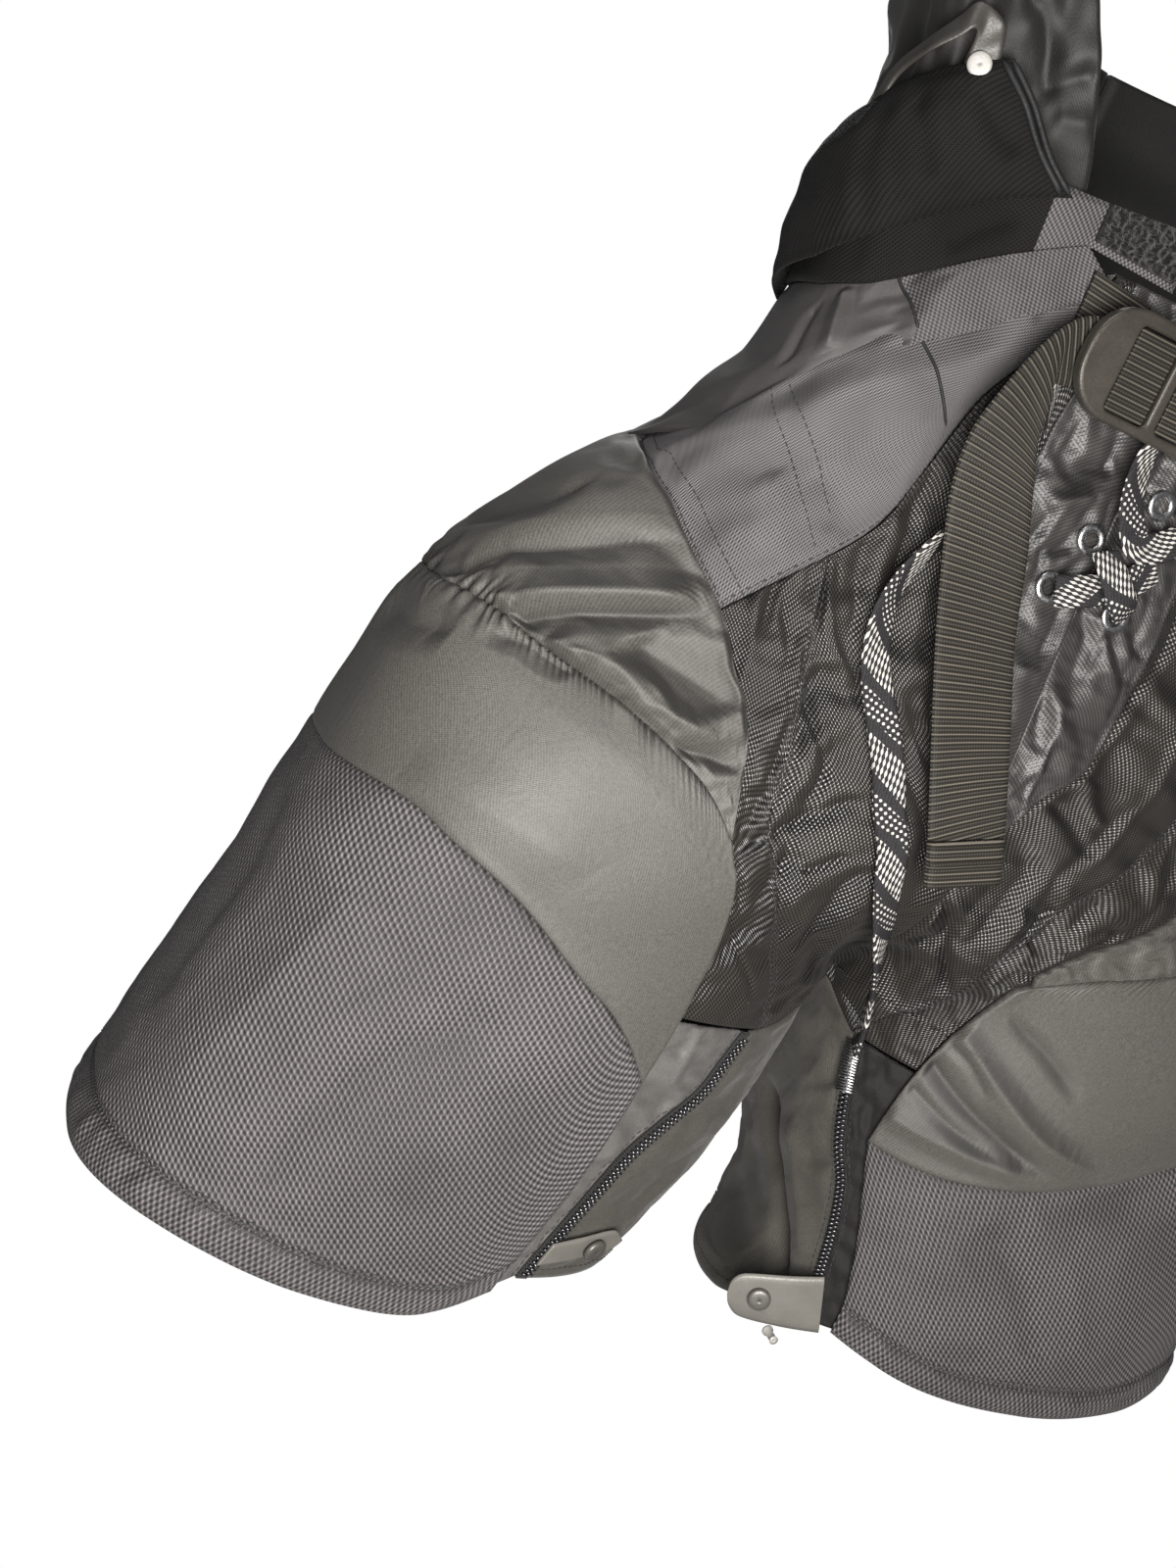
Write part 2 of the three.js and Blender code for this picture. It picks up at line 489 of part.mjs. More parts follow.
// Eyelets in the fly
const EYELET_HOLE = 2.4;
const EYELET_RIM = 5;
const EYELET_HEIGHT = 1.5;
const EYELETS = [
  { name: 'eyelet_right_low', side: RIGHT, angle: 4.5, height: 145 },
  { name: 'eyelet_right_high', side: RIGHT, angle: 2.2, height: 163 },
  { name: 'eyelet_left_low', side: LEFT, angle: 4.5, height: 145 },
  { name: 'eyelet_left_high', side: LEFT, angle: 5, height: 181 },
];
const eyeletProfile = [[EYELET_HOLE, 0], [EYELET_RIM, 0], [EYELET_RIM, EYELET_HEIGHT * 0.5],
  [(EYELET_RIM + EYELET_HOLE) / 2, EYELET_HEIGHT], [EYELET_HOLE, EYELET_HEIGHT * 0.5], [EYELET_HOLE, 0]];
for (const { name, side, angle, height } of EYELETS) {
  const ring = new THREE.LatheGeometry(eyeletProfile.map(([r, z]) => new THREE.Vector2(r, z)), 16);
  add(name, seated(ring.rotateX(Math.PI / 2), side, angle, height, 0.1), METAL);
}

// Flat lace, drawn along its route: x, y, height
function flatLace(name, route, steps) {
  const sides = 8;
  const section2d = new THREE.Shape(Array.from({ length: sides }, (_, k) => {
    const turn = ((k + 0.5) / sides) * 2 * Math.PI;
    const wide = THREE.MathUtils.clamp(Math.sin(turn) * LACE_WIDTH * 0.54, -LACE_WIDTH / 2, LACE_WIDTH / 2);
    return new THREE.Vector2((Math.cos(turn) * LACE_THICKNESS) / 2, wide);
  }));
  const path = new THREE.CatmullRomCurve3(route.map((p) => new THREE.Vector3(...p)));
  add(name, new THREE.ExtrudeGeometry(section2d, { steps, bevelEnabled: false, extrudePath: path }), LACE);
}

flatLace('lace_low', [[-12.5, -50, 145], [-6, -51, 147.5], [0, -51, 150], [6, -50, 152.5], [13, -48.4, 158],
  [18, -47, 163]], 14);
flatLace('lace_cross', [[-4, -52, 161.5], [-1.5, -56, 157.5], [2, -57.6, 153.5], [7, -57.4, 149.5],
  [11.5, -53.4, 146.5]], 12);
flatLace('lace_high', [[-1.6, -47, 196.4], [-3.5, -47.4, 190], [-2.5, -48.4, 181], [0.5, -50, 173], [5.5, -51, 167.5],
  [12, -50.4, 168.5], [19, -49, 173]], 18);
const FREE_LACE = [[-42, -44.2, 205], [-40.5, -45.2, 192], [-40, -46.2, 180], [-42, -47, 168], [-48, -47.5, 156],
  [-56, -48.2, 142], [-61, -49.4, 131], [-63, -51.4, 121], [-62, -53.6, 111.5], [-58, -56, 101], [-50, -59, 88.5],
  [-44, -61, 79], [-37.5, -63, 66], [-31, -63.8, 56], [-26, -63.2, 44], [-18.5, -59.5, 31], [-11, -53, 20],
  [-3, -46, 8], [2.5, -42, -4], [6, -39, -16]];
flatLace('lace_end', FREE_LACE, 60);

// Ribbon with a left and a right edge given at each station
function ribbon(name, stationsOfEdges, thickness, material) {
  const curves = ['left', 'right'].map((key) =>
    new THREE.CatmullRomCurve3(stationsOfEdges.map((s) => new THREE.Vector3(...s[key]))));
  const count = (stationsOfEdges.length - 1) * 2;
  const faces = [[], []];
  for (let k = 0; k <= count; k += 1) {
    const t = k / count;
    const [a, b] = curves.map((c) => c.getPoint(t));
    const along = curves[0].getTangent(t).add(curves[1].getTangent(t));
    const out = b.clone().sub(a).cross(along).normalize().multiplyScalar(thickness / 2);
    faces[0].push([a.clone().add(out), b.clone().add(out)]);
    faces[1].push([a.clone().sub(out), b.clone().sub(out)]);
  }
  add(name, solid(faces[0], faces[1]), material);
}

// Hanging strap: it leaves the buckle, turns over and hangs in front of the fly
ribbon('strap', [
  { left: [-35, -46.4, 223], right: [-35.5, -46.4, 200] },
  { left: [-45.5, -47.6, 218.5], right: [-44.5, -48.4, 198.5] },
  { left: [-54.5, -50.5, 207], right: [-45.5, -52.4, 194] },
  { left: [-61, -52.5, 191], right: [-44.5, -54.5, 188] },
  { left: [-64, -52.5, 176], right: [-43.5, -55, 181] },
  { left: [-62.5, -54, 160], right: [-38.5, -56.5, 168] },
  { left: [-57, -57.5, 141], right: [-32, -59.5, 150] },
  { left: [-49, -62, 118], right: [-24.5, -62, 127] },
  { left: [-37.5, -66, 91], right: [-13, -66, 100] },
  { left: [-24.5, -68.5, 63], right: [-0.5, -68.5, 72.5] },
], WEBBING_THICKNESS, WEBBING);
ribbon('strap_end', [
  { left: [-24.2, -68.5, 62.2], right: [-0.2, -68.5, 71.7] },
  { left: [-20.2, -68.8, 53], right: [3.8, -68.8, 62.5] },
  { left: [-18.6, -68.8, 49.3], right: [5.4, -68.8, 58.8] },
], WEBBING_THICKNESS * 2.4, WEBBING);

// Buckle: a frame with two windows beside its bar
const BUCKLE = { left: -42, right: 20, low: 195, high: 229, corner: 15, thick: 5, front: -53.8 };
const WINDOW = { left: -28.5, right: 6.5, low: 198.3, high: 224.5, bar: 4, barMiddle: -11 };

function roundedOutline(path, left, right, low, high, radius) {
  path.moveTo(left + radius, low);
  path.lineTo(right - radius, low);
  path.absarc(right - radius, low + radius, radius, -Math.PI / 2, 0);
  path.lineTo(right, high - radius);
  path.absarc(right - radius, high - radius, radius, 0, Math.PI / 2);
  path.lineTo(left + radius, high);
  path.absarc(left + radius, high - radius, radius, Math.PI / 2, Math.PI);
  path.lineTo(left, low + radius);
  path.absarc(left + radius, low + radius, radius, Math.PI, 1.5 * Math.PI);
  return path;
}

// Turns a drawing in x and height to face the front, with its back the given depth behind its front
function frontFacing(shape, frontDepth, thick, bevel) {
  const geometry = new THREE.ExtrudeGeometry(shape, { depth: thick - 2 * bevel, bevelEnabled: bevel > 0,
    bevelThickness: bevel, bevelSize: bevel, bevelOffset: -bevel, bevelSegments: 2, curveSegments: 5 });
  geometry.rotateX(Math.PI / 2).translate(0, frontDepth + thick - bevel, 0);
  return geometry;
}

const buckleShape = roundedOutline(new THREE.Shape(), BUCKLE.left, BUCKLE.right, BUCKLE.low, BUCKLE.high, BUCKLE.corner);
const windows = [
  [WINDOW.left, WINDOW.barMiddle - WINDOW.bar / 2],
  [WINDOW.barMiddle + WINDOW.bar / 2, WINDOW.right],
];
for (const [left, right] of windows) {
  buckleShape.holes.push(roundedOutline(new THREE.Path(), left, right, WINDOW.low, WINDOW.high, 2));
}
add('buckle', frontFacing(buckleShape, BUCKLE.front, BUCKLE.thick, 1), PLASTIC);

// Webbing folded over the buckle's bars, seen in its windows and lying on the fly behind
const WRAP_GAP = 0.5;
const WRAP = { front: -53, back: { right: -43.4, left: -40.6 }, bevel: 0.6 };
windows.forEach(([left, right], k) => {
  const hand = k === 0 ? 'right' : 'left';
  const wrap = roundedOutline(new THREE.Shape(), left + WRAP_GAP, right - WRAP_GAP, WINDOW.low + WRAP_GAP,
    WINDOW.high - WRAP_GAP, 1);
  add(`belt_wrap_${hand}`, frontFacing(wrap, WRAP.front, WRAP.back[hand] - WRAP.front, WRAP.bevel), WEBBING);
});

// Belt between the buckle and the waistband, and the hook-and-loop patch on the waistband's end
const BELT_LOW = 206;
const BELT_END = 20;
panel('belt', WEBBING, RIGHT, {
  bottom: line(row(9, BELT_LOW), row(BELT_END, BELT_LOW + 2)),
  top: line(row(9, BELT_LOW + WEBBING_WIDTH), row(BELT_END, BELT_LOW + 2 + WEBBING_WIDTH)),
  inner: line(row(9, BELT_LOW), row(9, BELT_LOW + WEBBING_WIDTH)),
  outer: line(row(BELT_END, BELT_LOW + 2), row(BELT_END, BELT_LOW + 2 + WEBBING_WIDTH)),
}, [4, 1], PADS.belt);
panel('hook_patch', FUZZ, RIGHT, {
  bottom: line(row(7, 240), row(22, 241)),
  top: line(row(7, 255), row(22, 252)),
  inner: line(row(7, 240), row(7, 255)),
  outer: line(row(22, 241), row(22, 252)),
}, [4, 2], PADS.patch);

// Folded vinyl strip above the hip flap: it rises behind the flap's upper edge, folds at its peak and comes down
const LOOP = [
  { upper: [91, 250, 2], lower: [86, 247, 2] },
  { upper: [86, 261, 2.4], lower: [81.5, 258.5, 3.2] },
  { upper: [75, 271, 3], lower: [71.5, 267, 7.5] },
  { upper: [67.5, 280, 3.2], lower: [65, 273.5, 8.5] },
  { upper: [63.5, 285, 5], lower: [62.5, 277, 8.5] },
  { upper: [56.5, 282.5, 5.5], lower: [61.5, 276.5, 5.5] },
  { upper: [54.4, 277, 2.4], lower: [62.2, 270, 2.4] },
  { upper: [53.5, 267, 1.9], lower: [62, 259, 1.9] },
];
const LOOP_SNAP = { angle: 58.2, height: 269.6, lift: 3.75, radius: 3.6, thick: 1 };

function snapDisc(radius, thick) {
  const disc = new THREE.CylinderGeometry(radius * 0.8, radius, thick, 16);
  return disc.rotateX(Math.PI / 2).translate(0, 0, thick / 2);
}

for (const side of [RIGHT, LEFT]) {
  const edge = ([angle, height, lift]) => lifted(side, angle, height, lift).toArray();
  ribbon(`flap_loop_${sideName(side)}`, LOOP.map((s) => ({ left: edge(s.upper), right: edge(s.lower) })), CLOTH, VINYL);
  const disc = snapDisc(LOOP_SNAP.radius, LOOP_SNAP.thick);
  add(`loop_snap_${sideName(side)}`, seated(disc, side, LOOP_SNAP.angle, LOOP_SNAP.height, LOOP_SNAP.lift), METAL);
}

// Vinyl tabs at the inner hem, each with a snap; the left one also shows the snap's stud below
ribbon('hem_tab_left', [
  { left: [38, -38, -97.5], right: [46, -38.5, -118] },
  { left: [28, -35.5, -101.5], right: [34, -36, -120.5] },
  { left: [16, -31, -106.5], right: [21, -31.5, -123] },
  { left: [10, -28.5, -110], right: [14, -29, -122.5] },
], CLOTH, VINYL);
ribbon('hem_tab_right', [
  { left: [-70, -53, -103], right: [-72, -52.5, -112] },
  { left: [-60, -50.5, -99.5], right: [-60, -48.5, -109.5] },
  { left: [-50, -47, -96.5], right: [-48, -43.5, -106.5] },
  { left: [-44.5, -45, -97], right: [-42, -41, -104] },
], CLOTH, VINYL);
const TAB_SNAP = { radius: 4, thick: 1.8 };
const TAB_SNAPS = [
  { name: 'tab_snap_left', at: [21.2, -33.9, -113.5], facing: [-0.34, -0.94, 0] },
  { name: 'tab_snap_right', at: [-53.9, -48.9, -103.3], facing: [0.43, -0.88, -0.19] },
];
for (const { name, at, facing } of TAB_SNAPS) {
  const turn = new THREE.Quaternion().setFromUnitVectors(new THREE.Vector3(0, 0, 1),
    new THREE.Vector3(...facing).normalize());
  const disc = snapDisc(TAB_SNAP.radius, TAB_SNAP.thick).applyQuaternion(turn);
  add(name, disc.translate(...at), METAL);
}
const STUD = { radius: 2, length: 6.5, at: [31.5, -34.8, -125.2] };
add('tab_stud', new THREE.CylinderGeometry(STUD.radius, STUD.radius, STUD.length, 10).rotateX(Math.PI / 2)
  .translate(...STUD.at), METAL);

group.position.set(0, -WAIST_MIDDLE_DEPTH, -WAIST_HEIGHT);
group.updateMatrixWorld(true);

export default group;
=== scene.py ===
import bpy
import numpy as np
from mathutils import Matrix


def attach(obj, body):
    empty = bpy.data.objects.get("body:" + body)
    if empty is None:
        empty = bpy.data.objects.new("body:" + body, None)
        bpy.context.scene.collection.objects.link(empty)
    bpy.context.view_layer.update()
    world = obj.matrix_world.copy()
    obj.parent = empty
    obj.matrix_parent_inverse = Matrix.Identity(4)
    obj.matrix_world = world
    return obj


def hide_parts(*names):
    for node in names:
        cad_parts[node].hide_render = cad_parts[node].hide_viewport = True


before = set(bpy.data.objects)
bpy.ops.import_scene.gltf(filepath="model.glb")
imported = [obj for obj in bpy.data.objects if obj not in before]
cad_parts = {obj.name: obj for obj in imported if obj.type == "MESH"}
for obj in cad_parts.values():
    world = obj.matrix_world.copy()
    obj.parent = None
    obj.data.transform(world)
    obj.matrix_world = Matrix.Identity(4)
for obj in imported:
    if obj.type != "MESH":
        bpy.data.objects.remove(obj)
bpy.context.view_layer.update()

# Drawing sizes, in millimetres and degrees. A place on the shorts is a side, an angle round the leg
# (0 front, 90 outer side, 180 back) and a height above the crotch.
RIGHT = -1
LEFT = 1
SIDES = ((RIGHT, "right"), (LEFT, "left"))
MM = 0.001
WAIST_MIDDLE = np.array([0, -26, -250])
LEFT_LEG_LENGTH = 0.894
ROUNDNESS = 0.9
EXTRA_GAP = 0.4
CENTRE_GAP = 0.02
MM_PER_DEGREE = 1.65
FLAT = np.array([MM_PER_DEGREE, 1])
SIDE_SEAM = 128
YOKE_CORNER = 38.5
YOKE_TIP = 104
SPLIT_HEIGHT = 128
FLY_LOW = 62
FLY_HIGH = 236
ZIP_HALF_ANGLE = 1.5
BACK_HEM = -117
LINER_HEM = {RIGHT: -119, LEFT: -133}
SATIN_TUCK = 6
OXFORD_ANGLE = 50
BAND_OXFORD_ANGLE = 31
# Course of the seat tape over the crotch, from its lowest point on the back
TAPE_LEAD = np.array([[0, -32, 21], [0, -19, 10.4], [0, -10, 3.4]])

# Lace, straps, tabs and tapes; the strap's ribs run askew by the two amounts, changing between two lengths
LACE_WIDTH = 10
LACE_THICKNESS = 2
LACE_CELL = 0.9
LACE_COLUMNS = 13
WEBBING_THICKNESS = 1.6
STRAP_RIB = 2.4
STRAP_SKEW = (9, 5.5)
SKEW_START = 50
SKEW_END = 130
VINYL_THICKNESS = 1.6
TAB_CORNER = 5
TAPE_THICKNESS = 1.2
LOOP_SNAP_PLACE = (58.2, 269.6)

# Folds and cells of the cloth; the narrowest sheet in metres
FOLD_MARGIN = 3
FOLD_TAPER = 0.22
CREASE_ROUND = 0.16
CREASE_REACH = 1.7
THINNEST = 0.9
FEWEST_CELLS = 6
NARROWEST_SHEET = 0.0101

# Zip teeth and stitches
ZIP_PITCH = 0.9
ZIP_TOOTH = np.array([2.0, 0.62, 1.1])
BRIGHT_TOOTH = np.array([6.2, 0.7, 1.0])
BRIGHT_TEETH = 18
STITCH_PITCH = 2.6
STITCH_LENGTH = 1.9
STITCH_RADIUS = 0.22

# Camera, solved from the photo: place (m), and its right, up and backward directions
CAMERA_PLACE = np.array([-0.3602, -0.6111, -0.0843])
CAMERA_RIGHT = np.array([0.8653, -0.2832, 0.4138])
CAMERA_UP = np.array([-0.3106, 0.3450, 0.8858])
CAMERA_BACK = np.array([-0.3936, -0.8949, 0.2105])
LENS = 47.25
SENSOR = 36
NEAR_THIGH = (-0.13, -0.08, -0.22)
MIDDLE = (0.0, -0.03, -0.16)
FLOOR_DEPTH = 1.4
FLOOR_RADIUS = 0.6

# Lights: target, direction along the camera's axes, distance and size (m), watts, colour
LIGHTS = {
    "key": (NEAR_THIGH, (0.14, -0.24, 1.0), 0.62, 0.42, 12.4, (1.0, 0.97, 0.94)),
    "back_fill": (MIDDLE, (0.25, 0.7, -1.0), 1.3, 0.8, 9, (1.0, 0.98, 0.96)),
    "top_fill": (MIDDLE, (-0.1, 1.0, 0.5), 1.6, 0.9, 8, (1.0, 0.98, 0.96)),
}
ROOM_LIGHT = 0.10

# Cross-sections of one half by height: outer width, depth in front and behind, half width of the leg, and how
# far the middle plane is turned in at the front and back (degrees)
SECTIONS = np.array([
    [-135, 217, 58, 98, 93, 90, 90],
    [-60, 200, 61, 101, 94, 90, 90],
    [0, 189.5, 62, 104, 94.6, 90, 90],
    [30, 183, 62, 105, 94.6, 46, 56],
    [60, 178, 59, 104, 94.6, 20, 30],
    [110, 150, 52, 100, 94.6, 3, 8],
    [150, 119, 46, 96, 94.6, 0, 0],
    [190, 108, 42, 93, 94.6, 0, 0],
    [250, 110, 38, 90, 94.6, 0, 0],
    [335, 117, 36, 90, 94.6, 0, 0],
])
OUT, FRONT, BACK, LEG, RISE_FRONT, RISE_BACK = range(1, 7)

# Seams, as lines of angles and heights
SEAMS = {
    RIGHT: {
        "hem": [(-22, -124), (-10, -136.5), (10, -138), (45, -133.5), (90, -131), (128, -130)],
        "hem_band_top": [(-21.5, -112), (-11, -125), (8, -126), (34, -121), (83, -116), (128, -116)],
        "thigh_top": [(-18, -41), (-9, -28), (1.5, -16), (20, 1), (39, 10), (59, 15), (101, 11), (128, 7)],
        "thigh_inner": [(-21.5, -112), (-21, -81), (-19, -52), (-18, -41)],
        "puff_seam": [(4.5, 41), (16.5, 54), (34.5, 65), (54.5, 71), (73.5, 74), (100, 70), (128, 66)],
        "lower_puff_inner": [(-18, -41), (-17, -22), (-15.5, -8), (-12.5, 11), (-2, 30), (4.5, 41)],
        "upper_puff_top": [(6, 44), (20, 73), (29, 87), (38.5, 101), (57.5, 118), (72.5, 126), (104, 134),
                           (128, 136)],
        "mesh_split": [(-44, -18), (-30, 7), (-2, 40), (14, 74), (25, 104)],
        "zip": [(-38.5, -19.5), (-38, -31), (-37.5, -42), (-33, -54), (-29.5, -66), (-28.5, -80),
                (-28, -112)],
    },
    LEFT: {
        "hem": [(-50, -131), (-25, -137), (0, -135.5), (27, -127), (60, -117), (128, -118)],
        "hem_band_top": [(-48, -118), (-22, -125), (-4, -123), (19, -116.5), (52, -105), (128, -106)],
        "thigh_top": [(-53, -51), (-41, -52), (-28, -50), (-12, -43), (-1, -34), (17, -17), (45, 2),
                      (80, 11), (128, 7)],
        "thigh_inner": [(-48, -118), (-48.5, -92), (-51, -68), (-53, -51)],
        "puff_seam": [(-18.5, 28), (-7.5, 35), (12.5, 48), (40, 64), (75, 72), (128, 66)],
        "lower_puff_inner": [(-53, -51), (-48.5, -28), (-44, -11), (-37, 8), (-26, 22), (-18.5, 28)],
        "upper_puff_top": [(-17, 31), (-6, 42), (5, 54), (16, 66), (28, 84), (38.5, 101), (57.5, 118),
                           (72.5, 126),
                           (104, 134), (128, 136)],
        "mesh_split": [(-69, -18), (-56, -2), (-36, 19), (-12, 46), (8, 74), (22, 102)],
        "zip": [(-66, -19.5), (-65.5, -32), (-62, -58), (-58, -73), (-57, -92), (-58, -113)],
    },
}
SHARED_SEAMS = {
    "yoke_top": [(15.5, 236), (27.5, 221), (37.5, 209), (48.5, 198), (67, 178), (78, 165), (96, 146),
                 (107, 138)],
    "yoke_inner": [(32, 156), (29, 187), (20.5, 212), (15.5, 236)],
    "yoke_bottom": [(32, 156), (32.2, 140), (35, 122), (38.5, 101)],
    "fly_edge": [(-17.5, 63.5), (-9.5, 73), (-2.5, 86), (3.5, 100), (10, 125), (14, 150), (15, 187),
                 (13, 212), (12, 236)],
    "band_low": [(22.5, 239), (38, 225), (49, 215), (59.5, 207), (73, 201), (105, 196), (128, 196),
                 (155, 201),
                 (179.8, 205)],
    "band_top": [(6, 256), (25, 252), (60, 250), (128, 250), (155, 252), (179.8, 254)],
    "flap_bottom": [(29.5, 248), (42.5, 239), (54, 228), (73.5, 213), (105, 196), (124, 190)],
    "flap_top": [(51, 275), (69, 264), (86, 253), (106, 240), (124, 230)],
    "flap_front": [(29.5, 248), (36, 255), (43, 266), (51, 275)],
    "pad_bottom": [(25, 247), (38, 232), (59.5, 215), (80, 207), (128, 203), (179.8, 212)],
    "pad_top": [(46, 318), (60, 322), (90, 323), (120, 319), (150, 312), (179.8, 308)],
    "pad_front": [(25, 247), (29, 269), (39, 300), (46, 318)],
    "gusset_top": [(-88, -6), (-94, -8), (-110, -8), (-135, -8)],
}
CROTCH_START = (-86, -5)

# How far each kind of panel stands off the shell: outside at the seam and crown, inside at the seam and
# crown, and the share of the panel over which it swells
PADS = {
    "hem_band": (-0.3, 0.3, -4, -4.5, 0.5),
    "thigh_panel": (-0.3, 1.2, -4.5, -14, 0.22),
    "lower_puff": (-0.2, 1.0, -5.5, -13, 0.3),
    "upper_puff": (-0.2, 0.8, -5.5, -13, 0.3),
    "yoke": (-2.5, 0.5, -4.5, -11, 0.25),
    "mesh_strip": (-3, -2, -4.8, -4.4, 0.4),
    "front_mesh": (-3, -2, -4.8, -4.4, 0.4),
    "fly": (-1.6, -0.4, -3.4, -3, 0.4),
    "waist_panel": (-4, -2.4, -5.6, -4.6, 0.4),
    "waistband": (-1.8, -0.6, -3.6, -3.6, 0.5),
    "hip_flap": (1, 5.6, -1, -0.6, 0.35),
    "kidney_pad": (-5.5, -4.4, -9, -15, 0.25),
    "back_thigh": (-3, -1.5, -5, -6, 0.3),
    "seat": (-3, -1.5, -5, -6, 0.3),
    "gusset": (-2.8, -2, -4.4, -3.8, 0.4),
    "side_facing": (-3.4, -3, -5.2, -5, 0.5),
    "zip": (-2.2, -1.4, -4, -4, 0.5),
    "belt": (1, 1.1, -0.6, -0.6, 0.5),
    "hook_patch": (0.6, 1, -1.3, -1.3, 0.5),
}
WEAVE_TURN = {"thigh_panel_right": -26, "thigh_panel_left": 21, "yoke_right": 40, "yoke_left": -40}

# Slack of each kind of panel for its cloth simulation: extra length all over and at the gathered edge, that
# edge and how far the gathers reach (mm), hold of the padding beneath, most movement (mm), cell (mm)
SLACK = {
    "upper_puff": (0.02, 0.11, "bottom", 22, 0.0, 4.0, 1.8),
    "lower_puff": (0.004, 0.10, "top", 8, 0.35, 2.5, 1.8),
    "fly": (0.03, 0.09, "outer", 9, 0.0, 2.0, 1.8),
    "front_mesh": (0.035, 0.035, "inner", 10, 0.0, 3.0, 2.4),
    "mesh_strip": (0.035, 0.035, "inner", 10, 0.0, 3.0, 2.4),
    "side_facing": (0.06, 0.06, "inner", 10, 0.0, 2.5, 1.8),
    "gusset": (0.008, 0.008, "inner", 10, 0.25, 1.5, 2.6),
    "kidney_pad": (0.006, 0.04, "bottom", 12, 0.3, 2.0, 3.6),
    "waist_panel": (0.006, 0.006, "top", 10, 0.0, 1.5, 2.6),
    "hip_flap": (0.006, 0.006, "top", 10, 0.4, 1.0, 2.6),
    "yoke": (0.004, 0.004, "top", 10, 0.3, 1.0, 2.6),
    "thigh_panel": (0.004, 0.004, "top", 10, 0.3, 1.2, 3.4),
    "seat": (0.02, 0.02, "top", 10, 0.0, 3.0, 6.4),
    "back_thigh": (0.02, 0.02, "top", 10, 0.0, 2.5, 6.4),
}
SLACK_FRAMES = 20
CLOTH_SCALE = 0.015
INNER_CELL = 3.5

# Painted shade of the folds, which darkens the colour: width and depth of broad and narrow hollows (mm), and
# the weight of leaning fold sides
WIDE_HOLLOW = 8
WIDE_HOLLOW_DEPTH = 2.6
NARROW_HOLLOW = 2.6
NARROW_HOLLOW_DEPTH = 0.9
# How strongly the painted shade darkens the colour, and how dark it goes as a share of the dark thread colour
PAINTED_SHADE_WEIGHT = 0.85
PAINTED_SHADE_DARKNESS = 0.4
LINT_COLOUR = (0.3, 0.29, 0.28)
UP_LEAN = 1.7
OUT_LEAN = 1.0
LEAN_START = 0.08

KIDNEY_CHANNELS = (44, 62, 92, 122, 150)
CHANNEL_HALF_WIDTH = 7
CHANNEL_DEPTH = 2.6

EYELETS = {"eyelet_right_low": (RIGHT, 4.5, 145), "eyelet_right_high": (RIGHT, 2.2, 163),
           "eyelet_left_low": (LEFT, 4.5, 145), "eyelet_left_high": (LEFT, 5, 181)}

